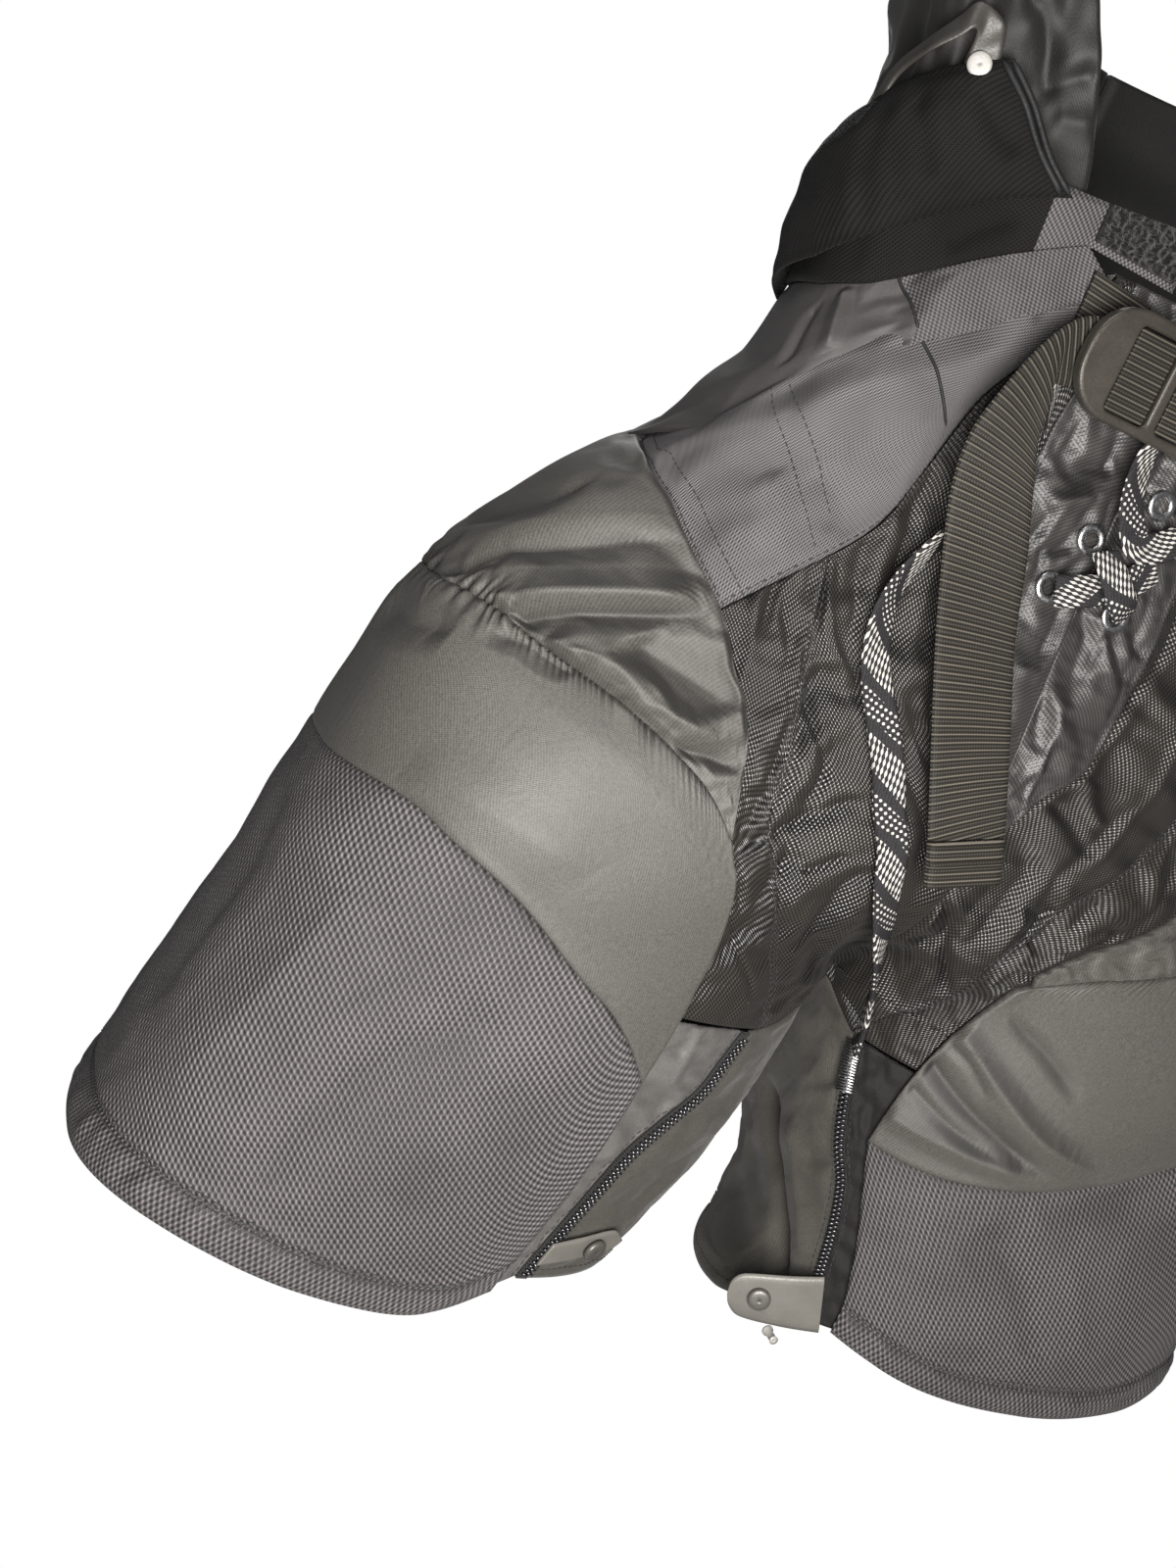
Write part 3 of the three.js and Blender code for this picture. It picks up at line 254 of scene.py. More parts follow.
# Creases and ridges read from the photo, by panel: height (below zero sinks), half width, and a line of
# angles and heights
MESH_RIGHT = ("mesh_strip_right", "front_mesh_right")
MESH_LEFT = ("mesh_strip_left", "front_mesh_left", "fly_left")
FOLDS = {
    ("upper_puff_right",): [
        (-4.4, 5.4, [(92, 72), (88, 77), (81.5, 88), (67, 101), (51, 116)]),
        (4.0, 5.5, [(70, 75), (67, 78), (56.5, 88), (47.5, 96), (40, 101)]),
        (-4.4, 4.4, [(65, 72), (63.5, 73), (55, 82), (46.5, 90), (38, 98)]),
        (3.6, 4.6, [(54, 70), (52, 71), (44, 74), (29.5, 68), (18, 66)]),
        (-2.6, 3.0, [(25, 59), (23, 60), (19, 61), (14, 60)]),
        (2.4, 3.0, [(35.5, 96), (31.5, 92), (24.5, 81), (21, 75), (18, 67)]),
        (-3.4, 6.0, [(44, 84), (40.5, 82), (33.5, 80), (26.5, 78), (23, 76)]),
        (-2.4, 5.0, [(110, 80), (98, 92), (88, 106), (82, 118)]),
    ],
    ("lower_puff_right",): [
        (-3.0, 6.0, [(100, 55), (92, 57), (84, 58), (78, 60), (70, 61)]),
        (-1.6, 3.0, [(66, 67), (57, 69), (50, 68), (45, 68)]),
        (1.0, 8.0, [(60, 24), (45, 23), (30, 21), (14, 17)]),
    ],
    MESH_RIGHT: [
        (-2.4, 2.6, [(21, 100), (19.5, 94), (16.5, 81), (12.5, 68), (8, 56), (3.5, 44), (0, 36)]),
        (1.5, 2.2, [(20, 88), (16.5, 75), (12.5, 64), (9, 55)]),
        (1.6, 2.2, [(13.5, 84), (11, 74), (7.5, 64), (4, 51), (2.5, 43)]),
        (-1.8, 2.0, [(1, 67), (1, 61), (1, 56), (1.5, 48), (1.5, 39)]),
        (-2.2, 2.6, [(-2.5, 45), (-7, 31), (-15, 15), (-18, 2)]),
        (1.8, 2.4, [(-9, 38), (-16, 23), (-22, 9)]),
        (-2.2, 2.4, [(-11.5, 48), (-16, 37), (-25, 24), (-32, 12)]),
        (1.8, 2.4, [(-15, 45), (-27, 29), (-43, 12), (-48.5, -6)]),
        (-1.4, 1.8, [(-7.5, 49), (-8, 42), (-7, 39)]),
        (-1.2, 2.6, [(27, 150), (22, 128), (17, 108), (10, 88)]),
        (1.2, 2.6, [(23, 152), (18, 130), (13, 110), (6, 90)]),
    ],
    MESH_LEFT: [
        (2.0, 2.6, [(-35.5, 18), (-24.5, 33), (-17, 44), (-11, 51)]),
        (-2.0, 2.2, [(-16.5, 39), (-12.5, 45), (-9, 51), (-6.5, 55)]),
        (2.2, 2.6, [(-12, 41), (-0.5, 55), (7.5, 67), (16.5, 80)]),
        (1.5, 2.0, [(1.5, 55), (8.5, 63), (15.5, 72)]),
        (1.8, 2.6, [(-60.5, 10), (-51, 24), (-38.5, 36), (-32.5, 43)]),
        (-2.0, 2.4, [(-46, 10), (-41, 24), (-35, 35), (-29, 44)]),
        (-2.2, 2.4, [(-35.5, 28), (-23, 42), (-13.5, 55), (-8.5, 63), (-5.5, 72)]),
        (-1.6, 2.0, [(1, 73), (0.5, 79), (-0.5, 83), (-1.5, 86)]),
        (1.6, 2.2, [(4, 83), (3, 90), (4, 97)]),
    ],
    ("lower_puff_left",): [
        (-2.8, 4.6, [(-46, -8), (-43, -12), (-33, -21), (-22.5, -28), (-9, -36)]),
        (1.8, 3.8, [(-52, -36), (-48.5, -37), (-36, -38), (-22.5, -38), (-8, -36)]),
        (2.4, 5.0, [(-40, 6), (-38.5, 4), (-26, -10), (-14, -22), (0, -28)]),
        (-1.1, 3.0, [(-28, 15), (-20.5, 10), (-17, 7), (-8, -2)]),
        (-1.5, 3.0, [(-49, -21), (-45.5, -24), (-33.5, -31), (-18, -37)]),
        (-1.2, 2.6, [(-41, 0), (-39, -2), (-33.5, -6), (-27, -17)]),
    ],
    ("fly_right",): [
        (-1.3, 2.0, [(8.5, 136), (8, 139), (7, 144)]),
        (-1.5, 2.0, [(8.5, 152), (6, 157), (3.5, 159)]),
        (1.4, 2.2, [(1.6, 122), (1, 118), (-1, 108), (-3.5, 100)]),
        (-1.6, 2.6, [(11, 176), (7, 182), (3, 186)]),
        (1.4, 2.6, [(11, 166), (8, 171), (4, 175)]),
    ],
    ("fly_left",): [
        (-2.0, 2.2, [(1, 150), (1, 142), (2, 135), (1.5, 124), (1, 114)]),
        (-1.6, 2.0, [(4.5, 141), (5.5, 138), (7.5, 132), (9, 127)]),
        (-1.6, 2.0, [(7, 152), (9, 143), (11.5, 135)]),
        (-1.4, 2.0, [(-1.5, 116), (-2.5, 108), (-3.5, 97)]),
        (1.6, 2.0, [(3, 144), (3.5, 141), (5, 134), (6.5, 125)]),
        (1.5, 2.0, [(-1.5, 120), (-0.5, 110), (0, 102)]),
        (-1.3, 1.8, [(6.5, 156), (7.5, 156), (11, 155), (13.5, 156)]),
        (1.5, 2.4, [(2, 176), (6, 170), (10, 162), (13, 150)]),
    ],
    ("hip_flap_right",): [
        (-1.5, 3.5, [(57.5, 264), (51.5, 258), (48, 255), (43, 249)]),
        (-1.5, 4.0, [(71.5, 254), (63.5, 246), (58, 235)]),
    ],
    ("waistband_right",): [
        (-1.2, 3.0, [(49.5, 220), (45, 228), (35, 240)]),
    ],
    ("waist_panel_right",): [
        (2.0, 4.0, [(66, 180), (69, 188), (72, 195), (74.5, 200)]),
        (-2.0, 4.0, [(78, 172), (82, 182), (86, 192)]),
    ],
    ("yoke_right",): [
        (-1.2, 2.0, [(28, 228), (27.5, 225), (26.5, 219), (26, 212)]),
        (-1.4, 4.0, [(37, 132), (39, 140), (43, 144), (49, 146)]),
        (1.2, 5.0, [(40, 118), (46, 132), (56, 142)]),
    ],
    ("kidney_pad_right",): [
        (-2.4, 3.0, [(53, 306), (52.5, 293), (48, 289), (43.5, 281), (40, 268)]),
        (-2.0, 3.0, [(42, 272), (39.5, 275), (36.5, 279), (30, 286)]),
        (2.4, 4.0, [(37.5, 267), (33.5, 268), (28, 270)]),
    ],
    ("gusset_left",): [
        (-7.0, 6.0, [(-97, -60), (-94, -72), (-89, -88), (-82, -103), (-74, -118), (-70, -130)]),
        (1.8, 7.0, [(-84, -62), (-78, -76), (-70, -95), (-64, -115)]),
    ],
    ("thigh_panel_right",): [
        (-2.2, 12.0, [(10, -30), (24, -55), (30, -85), (28, -112)]),
        (1.2, 14.0, [(50, -10), (55, -50), (62, -100)]),
        (-1.6, 13.0, [(92, 0), (88, -40), (92, -95)]),
    ],
    ("thigh_panel_left",): [
        (-1.8, 10.0, [(-20, -60), (-8, -80), (0, -112)]),
    ],
}


# Shape of the shorts as a smooth shell
def smooth(x, start, end):
    t = np.clip((x - start) / (end - start), 0, 1)
    return t * t * (3 - 2 * t)


def smoother(x, start, end):
    t = np.clip((x - start) / (end - start), 0, 1)
    return t ** 3 * (t * (6 * t - 15) + 10)


def between(x, start, end):
    return smoother(x, start, end) if start < end else 1 - smoother(x, end, start)


def section(which, height):
    x = SECTIONS[:, 0]
    y = SECTIONS[:, which]
    slopes = np.gradient(y, x)
    k = np.clip(np.searchsorted(x, height) - 1, 0, len(x) - 2)
    wide = x[k + 1] - x[k]
    t = np.clip((height - x[k]) / wide, 0, 1)
    return ((2 * t ** 3 - 3 * t ** 2 + 1) * y[k] + (t ** 3 - 2 * t ** 2 + t) * wide * slopes[k]
            + (3 * t ** 2 - 2 * t ** 3) * y[k + 1] + (t ** 3 - t ** 2) * wide * slopes[k + 1])


def power(v):
    return np.sign(v) * np.abs(v) ** ROUNDNESS


def rise(which, height):
    return np.clip(section(which, height), 0, 90)


def shell(side, angle, height):
    turn = np.radians(angle)
    ahead = np.cos(turn) > 0
    out = section(OUT, height)
    up = np.radians(np.where(ahead, rise(RISE_FRONT, height), rise(RISE_BACK, height)))
    half = np.where(height > 0, out / (1 + power(np.sin(up))), section(LEG, height))
    depth = np.where(ahead, section(FRONT, height), section(BACK, height))
    z = np.where((height < 0) & (side == LEFT), height * LEFT_LEG_LENGTH, height)
    x = np.maximum(out - half + half * power(np.sin(turn)), CENTRE_GAP)
    return np.stack([side * x, -depth * power(np.cos(turn)), z], -1)


def unit(v):
    return v / np.maximum(np.linalg.norm(v, axis=-1, keepdims=True), 1e-9)


def outward(side, angle, height, step=0.4):
    along = shell(side, angle + step, height) - shell(side, angle - step, height)
    up = shell(side, angle, height + step) - shell(side, angle, height - step)
    return unit(np.cross(along, up)) * side


def lifted(side, angle, height, lift):
    angle, height = np.asarray(angle, float), np.asarray(height, float)
    return shell(side, angle, height) + outward(side, angle, height) * np.asarray(lift)[..., None]


# Curves over angle and height, each a function of a share from 0 to 1
def catmull(points, each=24):
    p = np.asarray(points, float)
    n = len(p)
    t = np.linspace(0, 1, each, endpoint=False)[:, None]
    rows = []
    for k in range(n - 1):
        a, b, c, d = p[max(k - 1, 0)], p[k], p[k + 1], p[min(k + 2, n - 1)]
        rows.append(b + 0.5 * t * (c - a + t * (2 * a - 5 * b + 4 * c - d + t * (3 * (b - c) + d - a))))
    return np.concatenate(rows + [p[-1:]])


def by_length(points, scale=FLAT):
    steps = np.linalg.norm(np.diff(points * scale, axis=0), axis=1)
    along = np.concatenate([[0], np.cumsum(steps)]) / steps.sum()
    return lambda t: np.stack([np.interp(t, along, points[:, k]) for k in range(points.shape[1])], -1)


def spline(rows):
    return by_length(catmull(np.array(rows) * FLAT) / FLAT)


def line(a, b):
    a, b = np.asarray(a, float), np.asarray(b, float)
    return lambda t: a + (b - a) * np.asarray(t)[..., None]


def part(curve, start, end):
    return lambda t: curve(start + (end - start) * np.asarray(t))


def shifted(curve, angle, height):
    return lambda t: curve(t) + np.array([angle, height])


def joined(*curves):
    t = np.linspace(0, 1, 121)
    return by_length(np.concatenate([c(t) for c in curves]))


def station(curve, key, value):
    t = np.linspace(0, 1, 4001)
    return t[np.argmin(np.abs(curve(t)[:, key] - value))]


def first(curve):
    return curve(np.array(0.0))


def last(curve):
    return curve(np.array(1.0))


def run_length(points):
    return np.linalg.norm(np.diff(points, axis=0), axis=1).sum()


def middle_edge(which, low, high):
    """The edge on the middle plane between two heights, at the front or at the back."""
    def curve(t):
        height = low + (high - low) * np.asarray(t, float)
        turn = rise(which, height)
        return np.stack([-turn if which == RISE_FRONT else 180 + turn, height], -1)
    return curve


def patch(edges, u, v):
    bottom, top, inner, outer = edges
    u2, v2 = u[None, :, None], v[:, None, None]
    corners = [first(bottom), last(bottom), first(top), last(top)]
    return ((1 - v2) * bottom(u)[None] + v2 * top(u)[None]
            + (1 - u2) * inner(v)[:, None] + u2 * outer(v)[:, None]
            - (1 - u2) * (1 - v2) * corners[0] - u2 * (1 - v2) * corners[1]
            - (1 - u2) * v2 * corners[2] - u2 * v2 * corners[3])


def closed(low, high, inner=None, outer=None):
    return low, high, inner or line(first(low), first(high)), outer or line(last(low), last(high))


def spanned(inner, outer):
    return line(first(inner), first(outer)), line(last(inner), last(outer)), inner, outer


def panels_of(side):
    own = SEAMS[side]
    s = {key: spline(rows) for key, rows in {**own, **SHARED_SEAMS}.items()}
    corner = station(s["upper_puff_top"], 0, YOKE_CORNER)
    tip = station(s["upper_puff_top"], 0, YOKE_TIP)
    yoke_end = last(s["yoke_top"])
    tip_end = last(s["upper_puff_top"])
    satin_low = shifted(joined(s["yoke_top"], line(yoke_end, (SIDE_SEAM, tip_end[1] + 2))), -1, -SATIN_TUCK)
    side_at_band = station(s["band_low"], 0, SIDE_SEAM)
    satin_high = part(s["band_low"], 0, side_at_band)
    band_low = joined(line((6, FLY_HIGH + 2), first(s["band_low"])), s["band_low"])
    strip_start = station(s["lower_puff_inner"], 1, -18)
    strip_edge = joined(part(s["lower_puff_inner"], strip_start, 1), part(s["upper_puff_top"], 0, corner))
    strip_outer = shifted(strip_edge, -EXTRA_GAP, 0)
    split = station(s["yoke_bottom"], 1, SPLIT_HEIGHT)
    mesh_split = spline(own["mesh_split"] + [tuple(s["yoke_bottom"](np.array(split)))])
    yoke_edge = joined(part(s["yoke_bottom"], split, 0), s["yoke_inner"])
    mesh_outer = joined(mesh_split, shifted(yoke_edge, -EXTRA_GAP, 0))
    crotch_front = middle_edge(RISE_FRONT, 2, FLY_LOW)
    mesh_inner = joined(line(CROTCH_START, first(crotch_front)), crotch_front, s["fly_edge"])
    middle = middle_edge(RISE_FRONT, FLY_LOW, FLY_HIGH)
    facing_top = station(s["lower_puff_inner"], 1, -20)
    facing_outer = joined(s["thigh_inner"], part(s["lower_puff_inner"], 0, facing_top))
    zip_up = part(s["zip"], 1, 0)
    facing_inner = shifted(zip_up, ZIP_HALF_ANGLE, 0)
    zip_inner = shifted(zip_up, -ZIP_HALF_ANGLE, 0)
    zip_foot = last(s["zip"])[0] + ZIP_HALF_ANGLE
    low_inner = joined(line((zip_foot, LINER_HEM[side]), first(facing_inner)), facing_inner)
    low_outer = joined(line(first(s["hem"]), first(s["thigh_inner"])), facing_outer)
    low_zip = shifted(low_inner, -2 * ZIP_HALF_ANGLE, 0)
    crotch = joined(line(last(zip_inner), (CROTCH_START[0], CROTCH_START[1] - 1)), s["gusset_top"])
    gusset_low = line(first(low_zip), (-135, BACK_HEM))
    if side == LEFT:
        gusset_low = spline([first(low_zip), (-76, -138), (-96, -146), (-114, -138), (-135, BACK_HEM)])
    back_low, back_high = line((SIDE_SEAM, BACK_HEM), (225, BACK_HEM)), line((SIDE_SEAM, -8), (225, -8))
    seat_top = last(s["band_low"])[1]
    crotch_back = middle_edge(RISE_BACK, 2, seat_top)
    seat_inner = joined(line((268, -6), first(crotch_back)), crotch_back)
    seat_low, seat_high = line((SIDE_SEAM, -6), (268, -6)), part(s["band_low"], side_at_band, 1)

    return {
        "hem_band": closed(s["hem"], s["hem_band_top"]),
        "thigh_panel": closed(s["hem_band_top"], s["thigh_top"], s["thigh_inner"]),
        "lower_puff": closed(s["thigh_top"], s["puff_seam"], s["lower_puff_inner"]),
        "upper_puff": closed(s["puff_seam"], s["upper_puff_top"]),
        "yoke": closed(s["yoke_bottom"], s["yoke_top"], s["yoke_inner"],
                       joined(part(s["upper_puff_top"], corner, tip),
                              line(s["upper_puff_top"](np.array(tip)), yoke_end))),
        "waist_panel": closed(satin_low, satin_high),
        "waistband": closed(band_low, s["band_top"]),
        "hip_flap": closed(s["flap_bottom"], s["flap_top"], s["flap_front"]),
        "kidney_pad": closed(s["pad_bottom"], s["pad_top"], s["pad_front"]),
        "mesh_strip": closed(line(first(mesh_split), first(strip_outer)),
                             part(s["yoke_bottom"], split, 1), mesh_split, strip_outer),
        "front_mesh": spanned(mesh_inner, mesh_outer),
        "fly": spanned(middle, s["fly_edge"]),
        "side_facing": spanned(low_inner, low_outer),
        "zip": spanned(low_zip, low_inner),
        "gusset": closed(gusset_low, crotch, low_zip),
        "back_thigh": closed(back_low, back_high),
        "seat": closed(seat_low, seat_high, None, seat_inner),
    }


# Surface relief: folds, gathers and soft ripples, in millimetres
def ripple(seed, x, y, longest, shortest, count=16):
    draw = np.random.default_rng(seed)
    total = np.zeros_like(x)
    for _ in range(count):
        length = longest * (shortest / longest) ** draw.random()
        turn, phase = draw.random(2) * 2 * np.pi
        total += (length / longest) ** 0.7 * np.sin(
            2 * np.pi * (x * np.cos(turn) + y * np.sin(turn)) / length + phase)
    return total / max(total.std(), 1e-6)


def folds(name, grid):
    total = np.zeros(grid.shape[:2])
    flat = grid.reshape(-1, 2) * FLAT
    rows = [row for names, own in FOLDS.items() if name in names for row in own]
    for deep, half, points in rows:
        track = catmull(np.array(points) * FLAT, 16)
        gap = ((flat[:, None] - track[None]) ** 2).sum(-1)
        nearest = gap.argmin(1)
        share = nearest / (len(track) - 1)
        taper = smooth(share, 0, FOLD_TAPER) * smooth(1 - share, 0, FOLD_TAPER)
        total += (deep * taper * crease(np.sqrt(gap.min(1)), half)).reshape(total.shape)
    return total


def crease(gap, half):
    """A fold line: steep at its middle, flat where it ends."""
    tip = CREASE_ROUND * half
    rounded = np.sqrt(gap ** 2 + tip ** 2) - tip
    return np.clip(1 - rounded / (CREASE_REACH * half), 0, 1) ** 1.5


def loose_folds(seed, across, up, count, half, deep):
    """Creases that run along a strip, uneven and tapered, in places drawn from the seed."""
    draw = np.random.default_rng(seed)
    wide, tall = across.max(), up.max()
    total = np.zeros_like(across)
    for _ in range(count):
        at = draw.random() * wide
        start = draw.random() * tall
        long = tall * draw.uniform(0.12, 0.4)
        lean = draw.uniform(-0.25, 0.25)
        bend = draw.uniform(1, 4) * np.sin(up / draw.uniform(9, 22) + draw.random() * 6)
        sign = -1 if draw.random() < 0.55 else 1
        share = (up - start) / long
        taper = smooth(share, 0, 0.3) * smooth(1 - share, 0, 0.3)
        total += sign * deep * draw.uniform(0.5, 1) * taper * crease(
            np.abs(across - at - lean * (up - start) - bend), half * draw.uniform(0.7, 1.5))
    return total


def eyelet_rays(seed, angle, height, places, deep):
    """Short creases that radiate from the eyelets."""
    draw = np.random.default_rng(seed)
    total = np.zeros_like(angle)
    for at_angle, at_height in places:
        x, y = (angle - at_angle) * MM_PER_DEGREE, height - at_height
        for _ in range(11):
            turn, long = draw.random() * 2 * np.pi, draw.uniform(9, 22)
            ahead, aside = x * np.cos(turn) + y * np.sin(turn), np.abs(y * np.cos(turn) - x * np.sin(turn))
            taper = smooth(ahead, 2, 6) * (1 - smooth(ahead, long * 0.5, long))
            total += deep * draw.uniform(-1, 0.8) * taper * crease(aside, 1.1 + 0.06 * np.abs(ahead))
    return total


def puckers(seed, edge_gap, along, pitch, deep, reach, strength):
    drift = ripple(seed, along, along * 0, 30, 9) * pitch * 0.4
    wave = (0.5 + 0.5 * np.sin(2 * np.pi * (along + drift) / pitch)) ** 1.6
    uneven = np.clip(0.75 + 0.35 * ripple(seed + 1, along, along * 0, 40, 6), 0.1, 1.5)
    return -deep * strength * uneven * wave * np.exp(-(edge_gap / reach) ** 1.3)


# Mesh pieces
def add_object(name, data):
    thing = bpy.data.objects.new(name, data)
    bpy.context.scene.collection.objects.link(thing)
    return thing


def register(piece, nodes, slot):
    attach(piece, "root")
    if nodes:
        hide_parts(*nodes)


def tube_faces(index):
    """Faces of a tube from its rings of point numbers."""
    after = np.roll(index, -1, 1)
    return np.stack([index[:-1], after[:-1], after[1:], index[1:]], -1).reshape(-1, 4)


def every(step, count):
    return np.unique(np.append(np.arange(0, count, step), count - 1))


def quads(grid):
    return np.stack([grid[:-1, :-1], grid[:-1, 1:], grid[1:, 1:], grid[1:, :-1]], -1).reshape(-1, 4)


def rim_fans(front, back, kept):
    """Triangles between an outer edge and the coarser inner edge that keeps only some of its points."""
    fans = []
    for k, (start, end) in enumerate(zip(kept[:-1], kept[1:])):
        fans += [(front[j + 1], front[j], back[k]) for j in range(start, end)]
        fans.append((front[end], back[k], back[k + 1]))
    return np.array(fans)


def solid_faces(rows, columns, step):
    """Faces of the outer grid, of an inner grid that keeps one line in step, and of the rim between them."""
    front = np.arange(rows * columns).reshape(rows, columns)
    kept_rows, kept_columns = (every(step, n) for n in (rows, columns))
    back = np.arange(len(kept_rows) * len(kept_columns)).reshape(len(kept_rows), -1) + rows * columns
    rims = [rim_fans(front[0], back[0], kept_columns),
            rim_fans(front[-1], back[-1], kept_columns)[:, ::-1],
            rim_fans(front[:, 0], back[:, 0], kept_rows)[:, ::-1],
            rim_fans(front[:, -1], back[:, -1], kept_rows)]
    return quads(front), quads(back)[:, ::-1], np.concatenate(rims), kept_rows, kept_columns


def add_piece(name, points, faces, finish, uv=None, kinds=None, second=None, nodes=(), slot=None, painted_shade=None,
              rim=np.zeros((0, 3), int)):
    """Points are in drawing millimetres; kinds picks the second finish for some faces; painted_shade is the
    painted shade of the folds.
    """
    corners = points[faces[:, :3]]
    if (corners[:, 0] * np.cross(corners[:, 1], corners[:, 2])).sum() < 0:
        faces, rim = faces[:, ::-1], rim[:, ::-1]
    mesh = bpy.data.meshes.new(name)
    mesh.from_pydata(((points + WAIST_MIDDLE) * MM).tolist(), [], faces.tolist() + rim.tolist())
    mesh.materials.append(finish)
    if second is not None:
        mesh.materials.append(second)
        mesh.polygons.foreach_set("material_index", kinds.astype(np.int32))
    if uv is not None:
        layer = mesh.uv_layers.new(name="cloth")
        corners = np.concatenate([faces.reshape(-1), rim.reshape(-1)])
        layer.data.foreach_set("uv", (uv[corners] * MM).astype(np.float32).reshape(-1))
    # The painted shade of the folds is stored as a point attribute that the finishes read
    if painted_shade is not None:
        mesh.attributes.new("painted_shade", "FLOAT", "POINT").data.foreach_set("value", painted_shade.astype(np.float32))
    mesh.polygons.foreach_set("use_smooth", np.ones(len(faces) + len(rim), bool))
    mesh.validate()
    piece = add_object(name, mesh)
    register(piece, nodes, slot)
    return piece


def add_layers(name, outer, inner, finish, uv, second=None, nodes=(), slot=None, painted_shade=None, step=1):
    front, back, rim, rows, columns = solid_faces(*outer.shape[:2], step)
    inner, inner_uv = inner[rows][:, columns], uv[rows][:, columns]
    points = np.concatenate([outer.reshape(-1, 3), inner.reshape(-1, 3)])
    kinds = np.repeat([0, 1, 0], [len(front), len(back), len(rim)])
    # The inner layer gets no painted shade
    if painted_shade is not None:
        painted_shade = np.append(painted_shade, np.zeros(inner.shape[0] * inner.shape[1]))
    both_uv = np.concatenate([uv.reshape(-1, 2), inner_uv.reshape(-1, 2)])
    return add_piece(name, points, np.concatenate([front, back]), finish, both_uv, kinds, second, nodes, slot,
                     painted_shade, rim)


def lengths(points, axis):
    steps = np.linalg.norm(np.diff(points, axis=axis), axis=-1)
    start = np.zeros_like(steps.take([0], axis))
    return np.concatenate([start, np.cumsum(steps, axis=axis)], axis)


def softened(values, cells):
    cells = max(1, round(cells))
    kernel = np.hanning(2 * cells + 3)[1:-1]
    for axis in (0, 1):
        wider = np.pad(values, [(cells, cells) if k == axis else (0, 0) for k in (0, 1)], mode="edge")
        values = np.apply_along_axis(np.convolve, axis, wider, kernel / kernel.sum(), "valid")
    return values


def lowest(values, reach):
    for axis in (0, 1):
        wider = np.pad(values, [(reach, reach) if k == axis else (0, 0) for k in (0, 1)], mode="edge")
        count = values.shape[axis]
        values = np.min([np.take(wider, range(k, k + count), axis) for k in range(2 * reach + 1)], 0)
    return values


def grid_normals(points):
    du = np.gradient(points, axis=1)
    dv = np.gradient(points, axis=0)
    return unit(np.cross(du, dv))


def nearest_edge(gaps):
    return np.minimum.reduce(list(gaps.values()))


def settle(kind, points, normal, gaps, cell):
    """Cloth simulation of a panel with spare cloth, held at its edges; gives the movement outward."""
    if kind not in SLACK:
        return 0.0
    spare, gathered, edge, reach, hold, most, size = SLACK[kind]
    step = max(1, round(size / cell))
    rows, columns = (every(step, n) for n in points.shape[:2])
    start = points[rows][:, columns]
    index = np.arange(len(rows) * len(columns)).reshape(len(rows), len(columns))
    mesh = bpy.data.meshes.new("slack")
    mesh.from_pydata((start.reshape(-1, 3) * CLOTH_SCALE).tolist(), [], quads(index).tolist())
    piece = add_object("slack", mesh)
    inside = index[1:-1, 1:-1].reshape(-1)
    held = piece.vertex_groups.new(name="held")
    held.add(np.setdiff1d(index, inside).tolist(), 1.0, "REPLACE")
    if hold:
        held.add(inside.tolist(), hold, "REPLACE")
    gather = piece.vertex_groups.new(name="gather")
    near = np.exp(-gaps[edge][rows][:, columns] / reach).reshape(-1)
    for k, share in enumerate(near):
        gather.add([k], float(share), "REPLACE")
    cloth = piece.modifiers.new("cloth", "CLOTH")
    setting = cloth.settings
    setting.quality = 5
    setting.mass = 0.3
    setting.air_damping = 2
    setting.shear_stiffness = 5
    setting.bending_stiffness = 0.3
    setting.shrink_min = -spare
    setting.shrink_max = -gathered
    setting.vertex_group_shrink = "gather"
    setting.vertex_group_mass = "held"
    setting.effector_weights.gravity = 0
    cloth.point_cache.frame_end = SLACK_FRAMES
    for at in range(1, SLACK_FRAMES + 1):
        bpy.context.scene.frame_set(at)
    ready = piece.evaluated_get(bpy.context.evaluated_depsgraph_get())
    found = np.empty(index.size * 3, np.float32)
    ready.data.vertices.foreach_get("co", found)
    bpy.data.objects.remove(piece)
    bpy.data.meshes.remove(mesh)
    moved = ((found.reshape(start.shape) / CLOTH_SCALE - start) * normal[rows][:, columns]).sum(-1)
    return spread(most * np.tanh(moved / most), rows, columns, points.shape, step)


def spread(moved, rows, columns, shape, step):
    """Brings values from a coarse grid to the fine one and smooths them."""
    wide = np.stack([np.interp(np.arange(shape[1]), columns, row) for row in moved])
    full = np.stack([np.interp(np.arange(shape[0]), rows, column) for column in wide.T], 1)
    for _ in range(2 * (step - 1)):
        full[1:-1] = (full[:-2] + 2 * full[1:-1] + full[2:]) / 4
        full[:, 1:-1] = (full[:, :-2] + 2 * full[:, 1:-1] + full[:, 2:]) / 4
    return full


def fold_painted_shade(lift, base, lean, cell):
    """Painted shade from 0 to 1, darkening the colour in sunk places and on fold sides that lean up or
    outward.
    """
    broad = (softened(lift, WIDE_HOLLOW / cell) - lift) / WIDE_HOLLOW_DEPTH
    narrow = (softened(lift, NARROW_HOLLOW / cell) - lift) / NARROW_HOLLOW_DEPTH
    toward = UP_LEAN * unit(np.gradient(base, axis=0)) + OUT_LEAN * unit(np.gradient(base, axis=1))
    turned = (lean * toward).sum(-1)
    return np.clip(np.maximum(np.maximum(broad, narrow), turned - LEAN_START), 0, 1)


surfaces = {}


